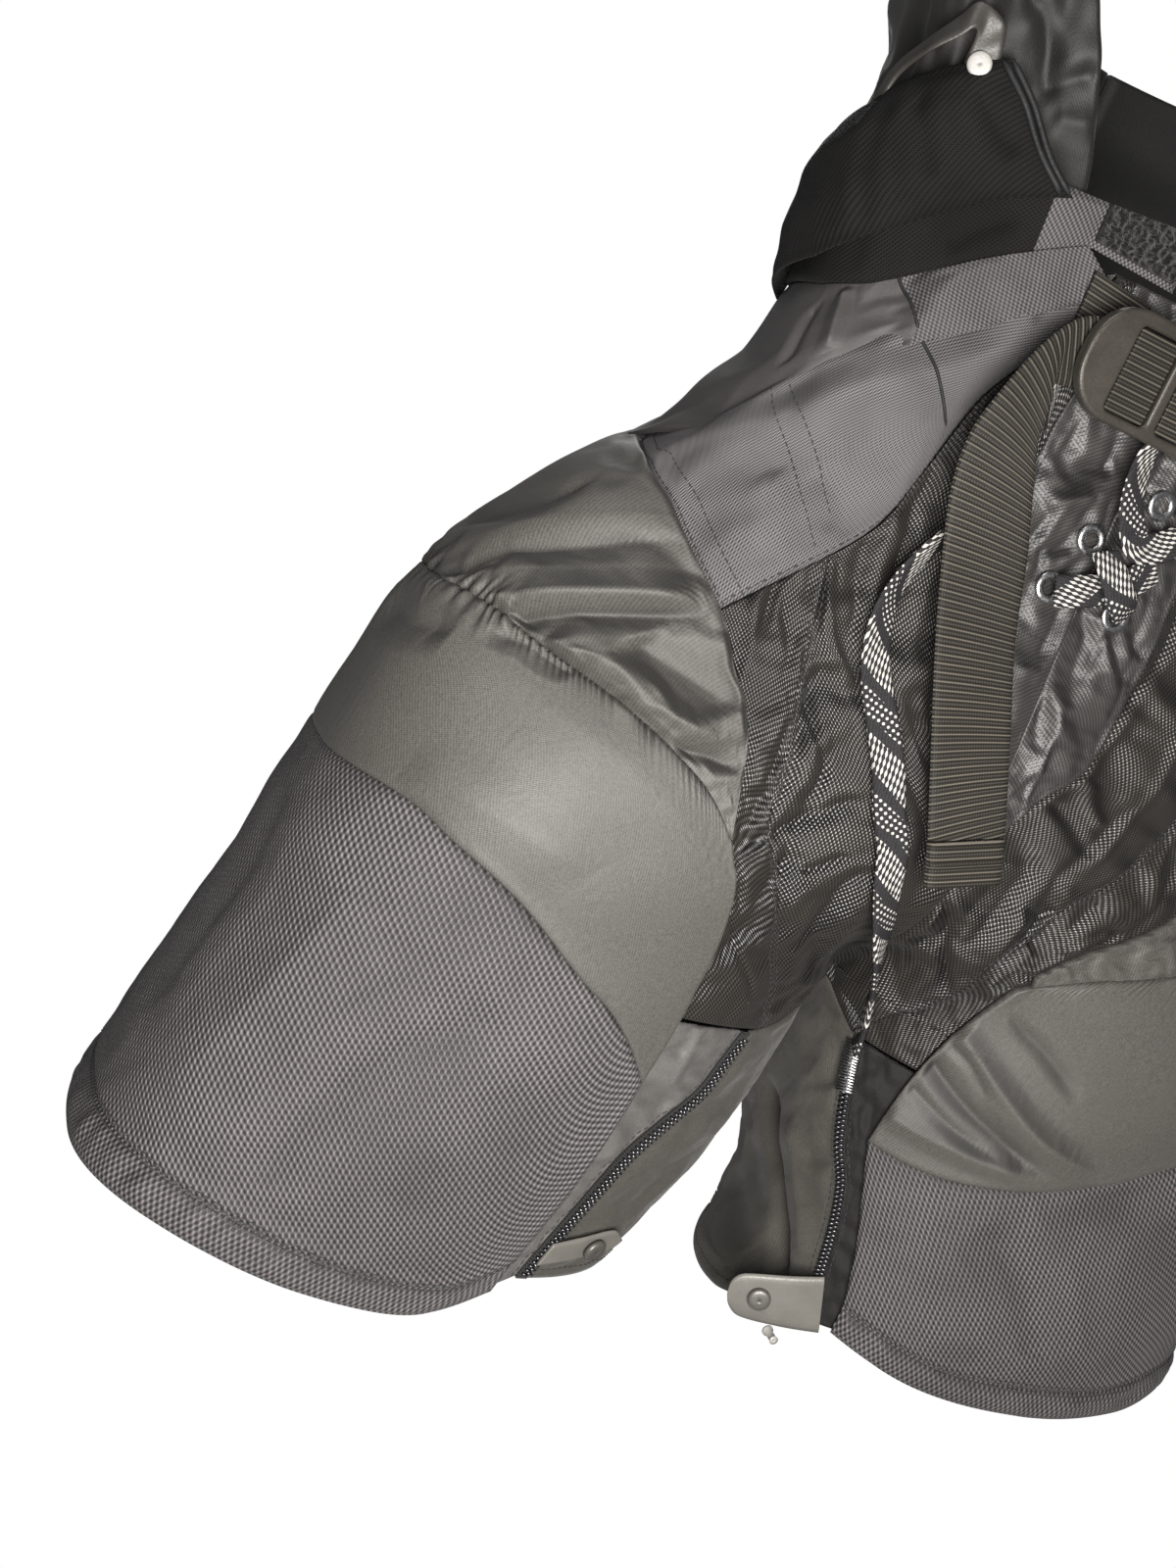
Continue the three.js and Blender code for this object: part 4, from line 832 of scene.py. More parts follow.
def cloth_panel(name, side, edges, pad, cell, finish, lining, slot, nodes=None, relief=None, stand=None):
    low, crown, edge, inside, rim = pad
    coarse = patch(edges, np.linspace(0, 1, 30), np.linspace(0, 1, 30))
    rough = shell(side, coarse[..., 0], coarse[..., 1])
    wide = lengths(rough, 1)[:, -1].max()
    tall = lengths(rough, 0)[-1].max()
    u = np.linspace(0, 1, max(FEWEST_CELLS, int(wide / cell) + 2))
    v = np.linspace(0, 1, max(FEWEST_CELLS, int(tall / cell) + 2))
    grid = patch(edges, u, v)
    angle, height = grid[..., 0], grid[..., 1]
    base = shell(side, angle, height)
    normal = outward(side, angle, height)
    across, up = lengths(base, 1), lengths(base, 0)
    gaps = {"inner": across, "outer": across[:, -1:] - across, "bottom": up, "top": up[-1:] - up}
    full = smooth(np.minimum(u, 1 - u), 0, rim)[None] * smooth(np.minimum(v, 1 - v), 0, rim)[:, None]
    lift = low + (crown - low) * full
    if stand is not None:
        lift = lift + stand(angle, height)
    lift = lift + folds(name, grid) * smooth(nearest_edge(gaps), 0, FOLD_MARGIN)
    if relief is not None:
        lift = lift + relief(angle, height, gaps)
    lift = lift + settle(name.rsplit("_", 1)[0], base + normal * lift[..., None], normal, gaps, cell)
    under = edge + (inside - edge) * full
    if stand is not None:
        under = under + stand(angle, height)
    step = max(1, round(INNER_CELL / cell))
    under = lowest(np.minimum(under, lift - THINNEST), step - 1)
    outer = base + normal * lift[..., None]
    inner = base + normal * under[..., None]
    turn = np.radians(WEAVE_TURN.get(name, 0))
    uv = np.stack([across * np.cos(turn) + up * np.sin(turn), up * np.cos(turn) - across * np.sin(turn)], -1)
    facing = grid_normals(outer)
    if (facing * normal).sum() < 0:
        facing = -facing
    # Painted shade of the folds, which darkens the cloth's colour in hollows and on fold sides turned up or
    # outward
    painted_shade = fold_painted_shade(lift, base, facing - normal, cell)
    piece = add_layers(name, outer, inner, finish, uv, lining, (name,) if nodes is None else nodes, slot,
                       painted_shade, step)
    cells = np.cross(np.diff(base, axis=1)[:-1], np.diff(base, axis=0)[:, :-1])
    area = np.linalg.norm(cells, axis=-1).sum()
    surfaces[name] = {"points": outer, "normals": facing, "grid": grid, "lift": lift, "side": side,
                      "wide": wide * MM, "tall": tall * MM, "area": area * MM * MM}
    return piece


# Procedural finishes
COLOUR_A, COLOUR_B, COLOUR_RESULT = 6, 7, 2

# Noise scales, from broad to fine
PATCHES = 22.0
WEAR = 60.0
CRINKLES = 900.0
SCRATCHES = 1400.0
YARN = 1500.0
FIBRES = 2600.0


class Finish:
    def __init__(self, name):
        self.material = bpy.data.materials.new(name)
        self.material.use_nodes = True
        self.tree = self.material.node_tree
        self.shader = next(n for n in self.tree.nodes if n.type == "BSDF_PRINCIPLED")
        self.places = None
        self.split = None

    def node(self, kind, inputs=None, **settings):
        made = self.tree.nodes.new(kind)
        for key, value in settings.items():
            setattr(made, key, value)
        for key, value in (inputs or {}).items():
            self.feed(made.inputs[key], value)
        return made

    def put(self, name, value):
        self.feed(self.shader.inputs[name], value)

    def feed(self, socket, value):
        if hasattr(value, "is_output"):
            self.tree.links.new(value, socket)
        else:
            socket.default_value = value

    def math(self, kind, a, b=0.0, c=0.0):
        n = self.node("ShaderNodeMath", operation=kind)
        for socket, value in zip(n.inputs, (a, b, c)):
            self.feed(socket, value)
        return n.outputs[0]

    def uv(self):
        if self.split is None:
            self.split = self.node("ShaderNodeSeparateXYZ")
            self.tree.links.new(self.node("ShaderNodeUVMap", uv_map="cloth").outputs[0], self.split.inputs[0])
        return self.split.outputs[0], self.split.outputs[1]

    def place(self):
        if self.places is None:
            self.places = self.node("ShaderNodeTexCoord").outputs["Object"]
        return self.places

    def noise(self, scale, detail=3.0):
        inputs = {"Vector": self.place(), "Scale": scale, "Detail": detail, "Roughness": 0.55}
        return self.node("ShaderNodeTexNoise", inputs).outputs["Fac"]

    def range(self, value, low, high, to_low=0.0, to_high=1.0):
        inputs = {"Value": value, "From Min": low, "From Max": high, "To Min": to_low, "To Max": to_high}
        return self.node("ShaderNodeMapRange", inputs).outputs[0]

    def mix(self, share, a, b):
        n = self.node("ShaderNodeMix", data_type="RGBA")
        self.feed(n.inputs[0], share)
        for slot, value in ((COLOUR_A, a), (COLOUR_B, b)):
            self.feed(n.inputs[slot], value if hasattr(value, "is_output") else (*value, 1.0))
        return n.outputs[COLOUR_RESULT]

    def wave(self, value, pitch):
        turns = self.math("MULTIPLY", value, 2 * np.pi / (pitch * MM))
        return self.math("COSINE", turns)

    def relief(self, height, distance):
        bump = self.node("ShaderNodeBump", {"Strength": 1.0, "Distance": distance * MM, "Height": height})
        normal = self.shader.inputs["Normal"]
        if normal.is_linked:
            self.feed(bump.inputs["Normal"], normal.links[0].from_socket)
        self.feed(normal, bump.outputs[0])


def dots(f, pitch_u, pitch_v):
    u, v = f.uv()
    both = f.math("MULTIPLY", f.wave(u, pitch_u), f.wave(v, pitch_v))
    return f.math("MULTIPLY_ADD", both, 0.5, 0.5)


def twill(f, pitch):
    u, v = f.uv()
    rib = f.wave(f.math("MULTIPLY_ADD", u, 0.6, v), pitch)
    thread = f.math("MULTIPLY", rib, f.wave(f.math("SUBTRACT", u, v), pitch * 0.9))
    return f.math("MULTIPLY_ADD", f.math("ADD", rib, thread), 0.25, 0.5)


def strap_weave(f):
    u, v = f.uv()
    bright = f.math("POWER", f.math("MULTIPLY_ADD", f.wave(v, STRAP_RIB), 0.5, 0.5), 9.0)
    row = f.math("POWER", f.math("MULTIPLY_ADD", f.wave(v, STRAP_RIB / 2), 0.5, 0.5), 2.0)
    dotted = f.math("MULTIPLY", row, f.math("MULTIPLY_ADD", f.wave(u, 0.9), 0.25, 0.35))
    return f.math("ADD", f.math("MULTIPLY", bright, 0.65), f.math("MULTIPLY", dotted, 0.6))


def grain(f, pitch):
    u, v = f.uv()
    slope = f.math("MULTIPLY_ADD", v, 0.8, u)
    cross = f.math("MULTIPLY", f.wave(slope, pitch), f.wave(v, pitch * 0.9))
    return f.math("MULTIPLY_ADD", cross, 0.3, f.noise(YARN, 2.0))


def fabric(name, dark, light, pattern, relief, rough, specular=0.3, sheen=0.1, uneven=0.25, lint=0.0,
           glint=0.0, ior=1.5):
    f = Finish(name)
    weave = pattern(f)
    slow = f.noise(PATCHES, 4.0)
    tone = f.range(slow, 0.3, 0.7, 1 - uneven, 1 + uneven)
    colour = f.mix(f.math("MULTIPLY", weave, tone), dark, light)
    if lint:
        specks = f.range(f.noise(FIBRES, 2.0), 0.72, 0.8, 0.0, lint)
        colour = f.mix(specks, colour, LINT_COLOUR)
    # Painted shade: the colour darkens toward a darker copy of the thread colour in sunk places and on fold
    # sides that lean up or outward
    painted_shade = f.node("ShaderNodeAttribute", attribute_name="painted_shade").outputs["Fac"]
    colour = f.mix(f.math("MULTIPLY", painted_shade, PAINTED_SHADE_WEIGHT), colour, tuple(PAINTED_SHADE_DARKNESS * c for c in dark))
    f.put("Base Color", colour)
    f.put("IOR", ior)
    f.put("Roughness", f.range(slow, 0.3, 0.7, rough + 0.06, rough - 0.06))
    if glint:
        f.put("Specular IOR Level", f.range(weave, 0.35, 0.9, specular, glint))
    else:
        f.put("Specular IOR Level", specular)
    f.put("Sheen Weight", sheen)
    f.put("Sheen Roughness", 0.45)
    f.relief(f.noise(CRINKLES, 3.0), 0.05)
    f.relief(weave, relief)
    return f.material


def plain(name, dark, light, rough, metal=0.0, specular=0.5, relief=0.04):
    f = Finish(name)
    worn = f.noise(WEAR, 5.0)
    f.put("Base Color", f.mix(f.range(worn, 0.3, 0.7), dark, light))
    fine = f.noise(SCRATCHES, 3.0)
    f.put("Roughness", f.range(fine, 0.3, 0.7, rough - 0.08, rough + 0.08))
    f.put("Metallic", metal)
    f.put("Specular IOR Level", specular)
    f.relief(fine, relief)
    return f.material


def braid(name):
    f = Finish(name)
    u, v = f.uv()
    slanted = f.math("MULTIPLY_ADD", u, 1.3, v)
    turn = f.math("FRACT", f.math("DIVIDE", slanted, 33 * MM))
    strands = f.wave(f.math("MULTIPLY_ADD", v, -0.35, u), 1.5)
    broken = f.wave(f.math("MULTIPLY_ADD", u, 0.8, v), 3.2)
    hatch = f.math("GREATER_THAN", f.math("ADD", strands, f.math("MULTIPLY", broken, 0.6)), 0.35)
    solid_part = f.math("MULTIPLY", f.math("LESS_THAN", turn, 0.4), hatch)
    spots = f.math("GREATER_THAN", f.math("MULTIPLY", f.wave(u, 2.6), f.wave(v, 2.6)), 0.45)
    dotted = f.math("MULTIPLY", spots, f.math("GREATER_THAN", turn, 0.55))
    dotted = f.math("MULTIPLY", dotted, f.math("LESS_THAN", turn, 0.85))
    white = f.math("MAXIMUM", solid_part, dotted)
    yarn = grain(f, 1.1)
    dull = f.range(f.noise(300.0, 3.0), 0.3, 0.7, 0.55, 1.0)
    dark = f.mix(yarn, (0.006, 0.006, 0.007), (0.035, 0.034, 0.036))
    f.put("Base Color", f.mix(f.math("MULTIPLY", white, dull), dark, (0.62, 0.60, 0.56)))
    f.put("Roughness", 0.8)
    f.put("Specular IOR Level", 0.2)
    f.relief(yarn, 0.25)
    return f.material


def grains(pitch):
    return lambda f: grain(f, pitch)


def twills(pitch):
    return lambda f: twill(f, pitch)


def raised_dots(pitch_u, pitch_v, power_of=1):
    """A weave of raised dots; a power above one narrows them."""
    if power_of == 1:
        return lambda f: dots(f, pitch_u, pitch_v)
    return lambda f: f.math("POWER", dots(f, pitch_u, pitch_v), power_of)


# Fabrics: colours between and on the threads, weave, its depth (mm), roughness, mirror share, sheen and
# unevenness
COARSE = fabric("coarse_weave", (0.011, 0.0101, 0.0105), (0.172, 0.1602, 0.1611), raised_dots(2.0, 3.7, 1.6),
                0.5, 0.6, 0.3, 0.05, lint=0.3)
NYLON = fabric("nylon", (0.024, 0.0228, 0.0204), (0.098, 0.0935, 0.084), grains(1.05),
               0.06, 0.58, 0.5, 0.05, 0.1)
PLACKET = fabric("placket_nylon", (0.014, 0.0133, 0.0128), (0.056, 0.053, 0.051), twills(1.5),
                 0.12, 0.44, 0.5, 0.02, 0.1)
BLACK_FACING = fabric("black_facing", (0.005, 0.0048, 0.0048), (0.018, 0.0171, 0.0169), grains(0.8),
                      0.08, 0.7, 0.25, 0.05, 0.1)
PAD_NYLON = fabric("pad_nylon", (0.007, 0.0066, 0.0063), (0.019, 0.0178, 0.017), grains(0.7),
                   0.05, 0.55, 0.3, 0.05, 0.1)
OXFORD = fabric("oxford", (0.012, 0.0115, 0.012), (0.23, 0.2165, 0.223), raised_dots(1.45, 1.9, 1.5),
                0.25, 0.6, 0.3, 0.05)
# A darker copy of the oxford: painted shade on the oxford fronts of the waist panel and the waistband
OXFORD_PAINTED_SHADE = fabric("oxford_painted_shade", (0.009, 0.0086, 0.009), (0.165, 0.1553, 0.16),
                       raised_dots(1.45, 1.9, 1.5), 0.25, 0.6, 0.3, 0.05)
SATIN = fabric("satin", (0.030, 0.0281, 0.0281), (0.052, 0.0489, 0.0483), grains(0.5), 0.04, 0.5, 0.3, 0.05)
FACING = fabric("facing_satin", (0.060, 0.057, 0.054), (0.118, 0.112, 0.1076), grains(0.5),
                0.04, 0.5, 0.35, 0.05)
BLACK_WEAVE = fabric("black_weave", (0.0025, 0.0024, 0.0025), (0.015, 0.0141, 0.0138), twills(1.4),
                     0.3, 0.75, 0.1, 0.02, lint=0.2)
MESH = fabric("mesh", (0.0085, 0.0078, 0.0068), (0.034, 0.0315, 0.0272), raised_dots(1.4, 1.9),
              0.25, 0.38, 0.05, 0.02, glint=0.9, ior=1.6)
STRETCH = fabric("stretch", (0.033, 0.0318, 0.028), (0.078, 0.0741, 0.065), grains(0.9), 0.1, 0.8, 0.15, 0.1)
WEBBING = fabric("webbing", (0.008, 0.0069, 0.0056), (0.135, 0.1215, 0.0994), strap_weave,
                 0.3, 0.6, 0.2, 0.02)
LINING = fabric("lining", (0.006, 0.006, 0.006), (0.014, 0.0135, 0.0135), grains(0.7), 0.05, 0.55, 0.2, 0.05)
FUZZ = fabric("hook_fuzz", (0.001, 0.001, 0.001), (0.007, 0.0067, 0.0065), lambda f: f.noise(2200.0, 4.0),
              0.9, 0.9, 0.1, 0.2)
ZIP_TAPE = fabric("zip_tape", (0.006, 0.006, 0.006), (0.022, 0.022, 0.022), raised_dots(0.8, 1.0),
                  0.12, 0.7, 0.2)

# Hard finishes: darker and lighter colour, roughness, metal share
VINYL = plain("vinyl", (0.105, 0.100, 0.090), (0.15, 0.142, 0.126), 0.42, relief=0.08)
DARK_VINYL = plain("dark_vinyl", (0.024, 0.0225, 0.020), (0.050, 0.047, 0.042), 0.45, relief=0.08)
PALE_METAL = plain("pale_metal", (0.34, 0.33, 0.31), (0.46, 0.45, 0.43), 0.5, 0.3)
SNAP_METAL = plain("snap_metal", (0.085, 0.081, 0.074), (0.14, 0.134, 0.122), 0.42, 0.4)
PEWTER = plain("buckle_plastic", (0.031, 0.0277, 0.0232), (0.058, 0.052, 0.0435), 0.36, 0.25)
METAL = plain("metal", (0.55, 0.55, 0.56), (0.75, 0.75, 0.76), 0.28, 1.0)
DARK_METAL = plain("dark_metal", (0.10, 0.10, 0.11), (0.22, 0.22, 0.23), 0.35, 1.0)
THREAD = plain("thread", (0.018, 0.018, 0.020), (0.045, 0.045, 0.048), 0.7, specular=0.2)
PIPING = plain("piping", (0.006, 0.006, 0.0065), (0.020, 0.020, 0.021), 0.6, specular=0.25, relief=0.1)
LACE = braid("lace")


# Camera, light and floor
def set_camera():
    data = bpy.data.cameras.new("camera")
    data.lens = LENS
    data.sensor_width = SENSOR
    data.clip_start = 0.02
    camera = add_object("camera", data)
    axes = np.stack([unit(CAMERA_RIGHT), unit(CAMERA_UP), unit(CAMERA_BACK)], 1)
    rows = [[*axes[k], CAMERA_PLACE[k]] for k in range(3)] + [[0, 0, 0, 1]]
    camera.matrix_world = Matrix(rows)
    bpy.context.scene.camera = camera


def soft_light(name, target, toward, distance, size, watts, colour):
    data = bpy.data.lights.new(name, "AREA")
    data.shape = "DISK"
    data.size = size
    data.energy = watts
    data.color = colour
    lamp = add_object(name, data)
    back = unit(np.array(toward[0] * CAMERA_RIGHT + toward[1] * CAMERA_UP + toward[2] * CAMERA_BACK))
    side = unit(np.cross(CAMERA_UP, back))
    up = np.cross(back, side)
    place = np.array(target) + back * distance
    rows = [[side[k], up[k], back[k], place[k]] for k in range(3)] + [[0, 0, 0, 1]]
    lamp.matrix_world = Matrix(rows)


def set_light():
    for name, row in LIGHTS.items():
        soft_light(name, *row)
    world = bpy.data.worlds.new("studio")
    world.use_nodes = True
    tree = world.node_tree
    out = next(n for n in tree.nodes if n.type == "OUTPUT_WORLD")
    soft = next(n for n in tree.nodes if n.type == "BACKGROUND")
    soft.inputs["Color"].default_value = (0.96, 0.98, 1.0, 1.0)
    soft.inputs["Strength"].default_value = ROOM_LIGHT
    white = tree.nodes.new("ShaderNodeBackground")
    white.inputs["Color"].default_value = (1.0, 1.0, 1.0, 1.0)
    white.inputs["Strength"].default_value = 1.0
    rays = tree.nodes.new("ShaderNodeLightPath")
    choose = tree.nodes.new("ShaderNodeMixShader")
    tree.links.new(rays.outputs["Is Camera Ray"], choose.inputs[0])
    tree.links.new(soft.outputs[0], choose.inputs[1])
    tree.links.new(white.outputs[0], choose.inputs[2])
    tree.links.new(choose.outputs[0], out.inputs[0])
    bpy.context.scene.world = world
    bpy.context.scene.view_settings.view_transform = "Standard"


def set_floor():
    f = Finish("floor")
    f.put("Base Color", f.mix(f.noise(8.0), (0.82, 0.82, 0.82), (0.86, 0.86, 0.86)))
    f.put("Roughness", 0.9)
    mesh = bpy.data.meshes.new("floor")
    turn = np.linspace(0, 2 * np.pi, 96, endpoint=False)
    rim = [(FLOOR_RADIUS * np.cos(a), FLOOR_RADIUS * np.sin(a), -FLOOR_DEPTH) for a in turn]
    mesh.from_pydata(rim, [], [list(range(len(rim)))])
    mesh.materials.append(f.material)
    add_object("floor", mesh)


set_camera()
set_light()
set_floor()


# Laces: a flat braid along a route, facing the way given at each point
def flat_lace(name, route, twist, facing):
    track = catmull(route, 16)
    along = by_length(track, 1)
    total = run_length(track)
    t = np.linspace(0, 1, int(total / LACE_CELL) + 2)
    middle = along(t)
    tangent = unit(np.gradient(middle, axis=0))
    knots = np.linspace(0, 1, len(facing))
    face = np.stack([np.interp(t, knots, np.array(facing, float)[:, k]) for k in range(3)], -1)
    face = unit(face - (face * tangent).sum(-1, keepdims=True) * tangent)
    wide = np.cross(tangent, face)
    turn = np.radians(np.interp(t, np.linspace(0, 1, len(twist)), twist))[:, None]
    wide, face = wide * np.cos(turn) + face * np.sin(turn), face * np.cos(turn) - wide * np.sin(turn)
    x = np.linspace(-1, 1, LACE_COLUMNS)
    half = 0.5 * LACE_THICKNESS * (1 - np.abs(x) ** 5) ** 0.5 * 0.9 + 0.12
    cup = 0.25 * np.cos(x * np.pi * 2.5)
    sheet = middle[:, None] + wide[:, None] * (x * LACE_WIDTH / 2)[None, :, None]
    outer = sheet + face[:, None] * (half + 0.15 * cup)[None, :, None]
    inner = sheet - face[:, None] * (half + 0.15 * cup)[None, :, None]
    uv = np.stack(np.broadcast_arrays((x * LACE_WIDTH / 2)[None], (t * total)[:, None]), -1)
    piece = add_layers(name, outer, inner, LACE, uv, nodes=(name,), slot="lace")
    return piece, middle, total * MM


# Route of the lace's free end
FREE_LACE = [(-42, -44.2, 205), (-40.5, -45.2, 192), (-40, -46.2, 180), (-42, -47, 168), (-48, -47.5, 156),
             (-56, -48.2, 142), (-61, -49.4, 131), (-63, -51.4, 121), (-62, -53.6, 111.5), (-58, -56, 101),
             (-50, -59, 88.5), (-44, -61, 79), (-37.5, -63, 66), (-31, -63.8, 56), (-26, -63.2, 44),
             (-18.5, -59.5, 31), (-11, -53, 20), (-3, -46, 8), (2.5, -42, -4), (6, -39, -16)]
lace_piece, lace_line, lace_length = flat_lace(
    "lace_end", FREE_LACE, [60, 60, 64, 66, 58, 30, 5, 0, 10, 35, 60, 68, 72],
    [(-0.2, -1, 0), (-0.4, -0.9, 0.1), (-0.4, -0.9, 0.1), (-0.3, -0.95, 0), (0, -1, 0.2)])
# Pieces of lace between the eyelets: route, twist in degrees, facing
CROSSINGS = {
    "lace_low": ([(-12.5, -50, 145), (-6, -51, 147.5), (0, -51, 150), (6, -50, 152.5), (13, -48.4, 158),
                  (18, -47, 163)], [0, 5, 0], [(-0.2, -1, 0.2), (0.1, -1, 0.1), (0.2, -1, 0.1)]),
    "lace_cross": ([(-4, -52, 161.5), (-1.5, -56, 157.5), (2, -57.6, 153.5), (7, -57.4, 149.5),
                    (11.5, -53.4, 146.5)], [10, 0, -10], [(-0.2, -1, 0.2), (0, -1, 0.1), (0.3, -1, 0.1)]),
    "lace_high": ([(-1.6, -47, 196.4), (-3.5, -47.4, 190), (-2.5, -48.4, 181), (0.5, -50, 173),
                   (5.5, -51, 167.5), (12, -50.4, 168.5), (19, -49, 173)], [40, 20, 0, 10],
                  [(-0.2, -1, 0.1), (0, -1, 0.1), (0.3, -1, 0.1)]),
}
for name, (route, twist, facing) in CROSSINGS.items():
    flat_lace(name, route, twist, facing)


# Cloth panels
def kidney_relief(angle, height, gaps):
    deep = np.zeros_like(angle)
    for at in KIDNEY_CHANNELS:
        deep = np.maximum(deep, CHANNEL_DEPTH * (1 - smooth(np.abs(angle - at), 0, CHANNEL_HALF_WIDTH)))
    nearest = nearest_edge(gaps)
    return -deep * smooth(nearest, 0, 12) + 0.35 * ripple(41, angle * MM_PER_DEGREE, height, 50, 12)


def soft_relief(seed, amount, longest, shortest, roll=0.0, roll_width=4.0):
    def relief(angle, height, gaps):
        nearest = nearest_edge(gaps)
        bumps = amount * ripple(seed, angle * MM_PER_DEGREE, height, longest, shortest)
        return bumps * smooth(nearest, 0, 6) - roll * (1 - smooth(nearest, 0, roll_width))
    return relief


def gather_rays(seed, along, edge_gap, count, start, end, deep, reach):
    """Uneven folds that run away from the gathered seam."""
    draw = np.random.default_rng(seed)
    total = np.zeros_like(edge_gap)
    for _ in range(count):
        at = start + (end - start) * draw.random()
        lean = draw.uniform(-0.7, 0.7)
        wide = draw.uniform(1.2, 2.4)
        length = reach * draw.uniform(0.45, 1.2)
        height_here = deep * draw.uniform(0.5, 1.0) * (1 if draw.random() < 0.45 else -1)
        aside = np.abs(along - at - lean * edge_gap)
        taper = 1 - smooth(edge_gap, length * 0.3, length)
        total += height_here * crease(aside, wide * (1 + edge_gap / length)) * taper
    return total


def pillow(gap, reach):
    return 1 - np.exp(-gap / reach)


def well_gathered(share):
    """The part of the seam between the puffs where the gathers are strong."""
    return smooth(share, 0.4, 0.5) * (1 - smooth(share, 0.86, 0.95))


def lower_puff_relief(side):
    base = soft_relief(11 + side, 0.2, 90, 40, 0.3, 1.5)

    def relief(angle, height, gaps):
        top = gaps["top"]
        along = np.broadcast_to(gaps["inner"][-1:], top.shape)
        length = along[0, -1]
        fine = smooth(along / length, 0.0, 0.06) * (1 - smooth(along / length, 0.42, 0.5))
        strong = well_gathered(along / length)
        swell = smooth(angle, 45, 95) * (1.6 + 1.5 * pillow(gaps["bottom"], 22))
        return (base(angle, height, gaps) + swell - 0.7 * np.exp(-top / 1.2)
                + puckers(21, top, along, 2.4, 2.0, 4.0, fine)
                + puckers(22, top, along, 4.2, 2.6, 4.0, strong)
                + gather_rays(25, along, top, 16, 0.42 * length, 0.85 * length, 0.8, 14))
    return relief


def upper_puff_relief(side):
    base = soft_relief(31 + side, 0.25, 60, 20, 0.3, 1.5)

    def relief(angle, height, gaps):
        low = gaps["bottom"]
        along = np.broadcast_to(gaps["inner"][:1], low.shape)
        length = along[0, -1]
        strong = well_gathered(along / length)
        swell = smooth(angle, 45, 95) * (3.1 - 1.8 * smooth(low, 0, 40)) * pillow(gaps["top"], 12)
        return (base(angle, height, gaps) + swell - 0.7 * np.exp(-low / 1.2)
                + puckers(23, low, along, 4.2, 2.6, 4.5, strong)
                + gather_rays(26, along, low, 20, 0.38 * length, 0.85 * length, 1.3, 20)
                + gather_rays(27, along, low, 12, 0.05 * length, 0.42 * length, 0.6, 10))
    return relief


def thigh_relief(side):
    base = soft_relief(52 + side, 0.4, 110, 35, 0.4, 2)

    def relief(angle, height, gaps):
        return base(angle, height, gaps) + 1.6 * smooth(angle, 45, 95) * np.exp(-gaps["top"] / 24)
    return relief


def strip_relief(seed, bumps, longest, shortest, count, half, deep):
    base = soft_relief(seed, bumps, longest, shortest)

    def relief(angle, height, gaps):
        nearest = np.minimum(gaps["inner"], gaps["outer"])
        return base(angle, height, gaps) + smooth(nearest, 0, 2.5) * loose_folds(
            seed + 100, gaps["inner"], gaps["bottom"], count, half, deep)
    return relief


def fly_relief(side):
    base = soft_relief(68 + side, 0.2, 14, 4)
    places = [row[1:] for row in EYELETS.values() if row[0] == side]

    def relief(angle, height, gaps):
        return (base(angle, height, gaps) + eyelet_rays(90 + side, angle, height, places, 1.5)
                + loose_folds(94 + side, gaps["inner"], gaps["bottom"], 26, 1.5, 0.9))
    return relief


def flap_stand(angle, height):
    """The flap stands off, and comes down to the band at its back end."""
    return 3.2 * between(angle, 124, 100)


def pad_stand(angle, height):
    """The pad leans outward above the waistband."""
    return 5 * between(height, 264, 292)


def oxford_front(piece, cells, heights, angles):
    """Gives the oxford with painted shade, a darker copy, to the outer faces in front of a seam, whose angle
    is known at some heights.
    """
    front = (cells[..., 0] < np.interp(cells[..., 1], heights, angles)).reshape(-1)
    piece.data.materials.append(OXFORD_PAINTED_SHADE)
    kinds = np.empty(len(piece.data.polygons), np.int32)
    piece.data.polygons.foreach_get("material_index", kinds)
    kinds[:len(front)][front] = 2
    piece.data.polygons.foreach_set("material_index", kinds)


def satin_stand(angle, height):
    """Raised to the yoke's level in front of the curved seam and low at the side."""
    front = 2.6 * between(angle, OXFORD_ANGLE + 6, OXFORD_ANGLE - 6)
    return front + 4.5 * between(angle, 80, 100) * between(height, 180, 150)


def mesh_stand(angle, height):
    """Raised along the middle below the fly, where both halves meet."""
    from_middle = angle + rise(RISE_FRONT, height)
    return 3.2 * (1 - smooth(from_middle, 0, 8)) * between(height, FLY_LOW + 12, FLY_LOW - 4)


def left_liner(angle, height):
    """Drawn in at the middle of its height and flared at its hem."""
    flare = 10 * between(height, -112, -142) - 4 * np.exp(-((height + 98) / 18) ** 2)
    return flare * (1 - smoother(np.minimum(1, np.abs(angle + 98) / 38), 0, 1))


STANDS = {"front_mesh": mesh_stand, "hip_flap": flap_stand, "kidney_pad": pad_stand,
          "waist_panel": satin_stand}
LINERS = {RIGHT: lambda angle, height: 3 * np.exp(-((angle + 68) / 30) ** 2 - ((height + 62) / 42) ** 2),
          LEFT: left_liner}
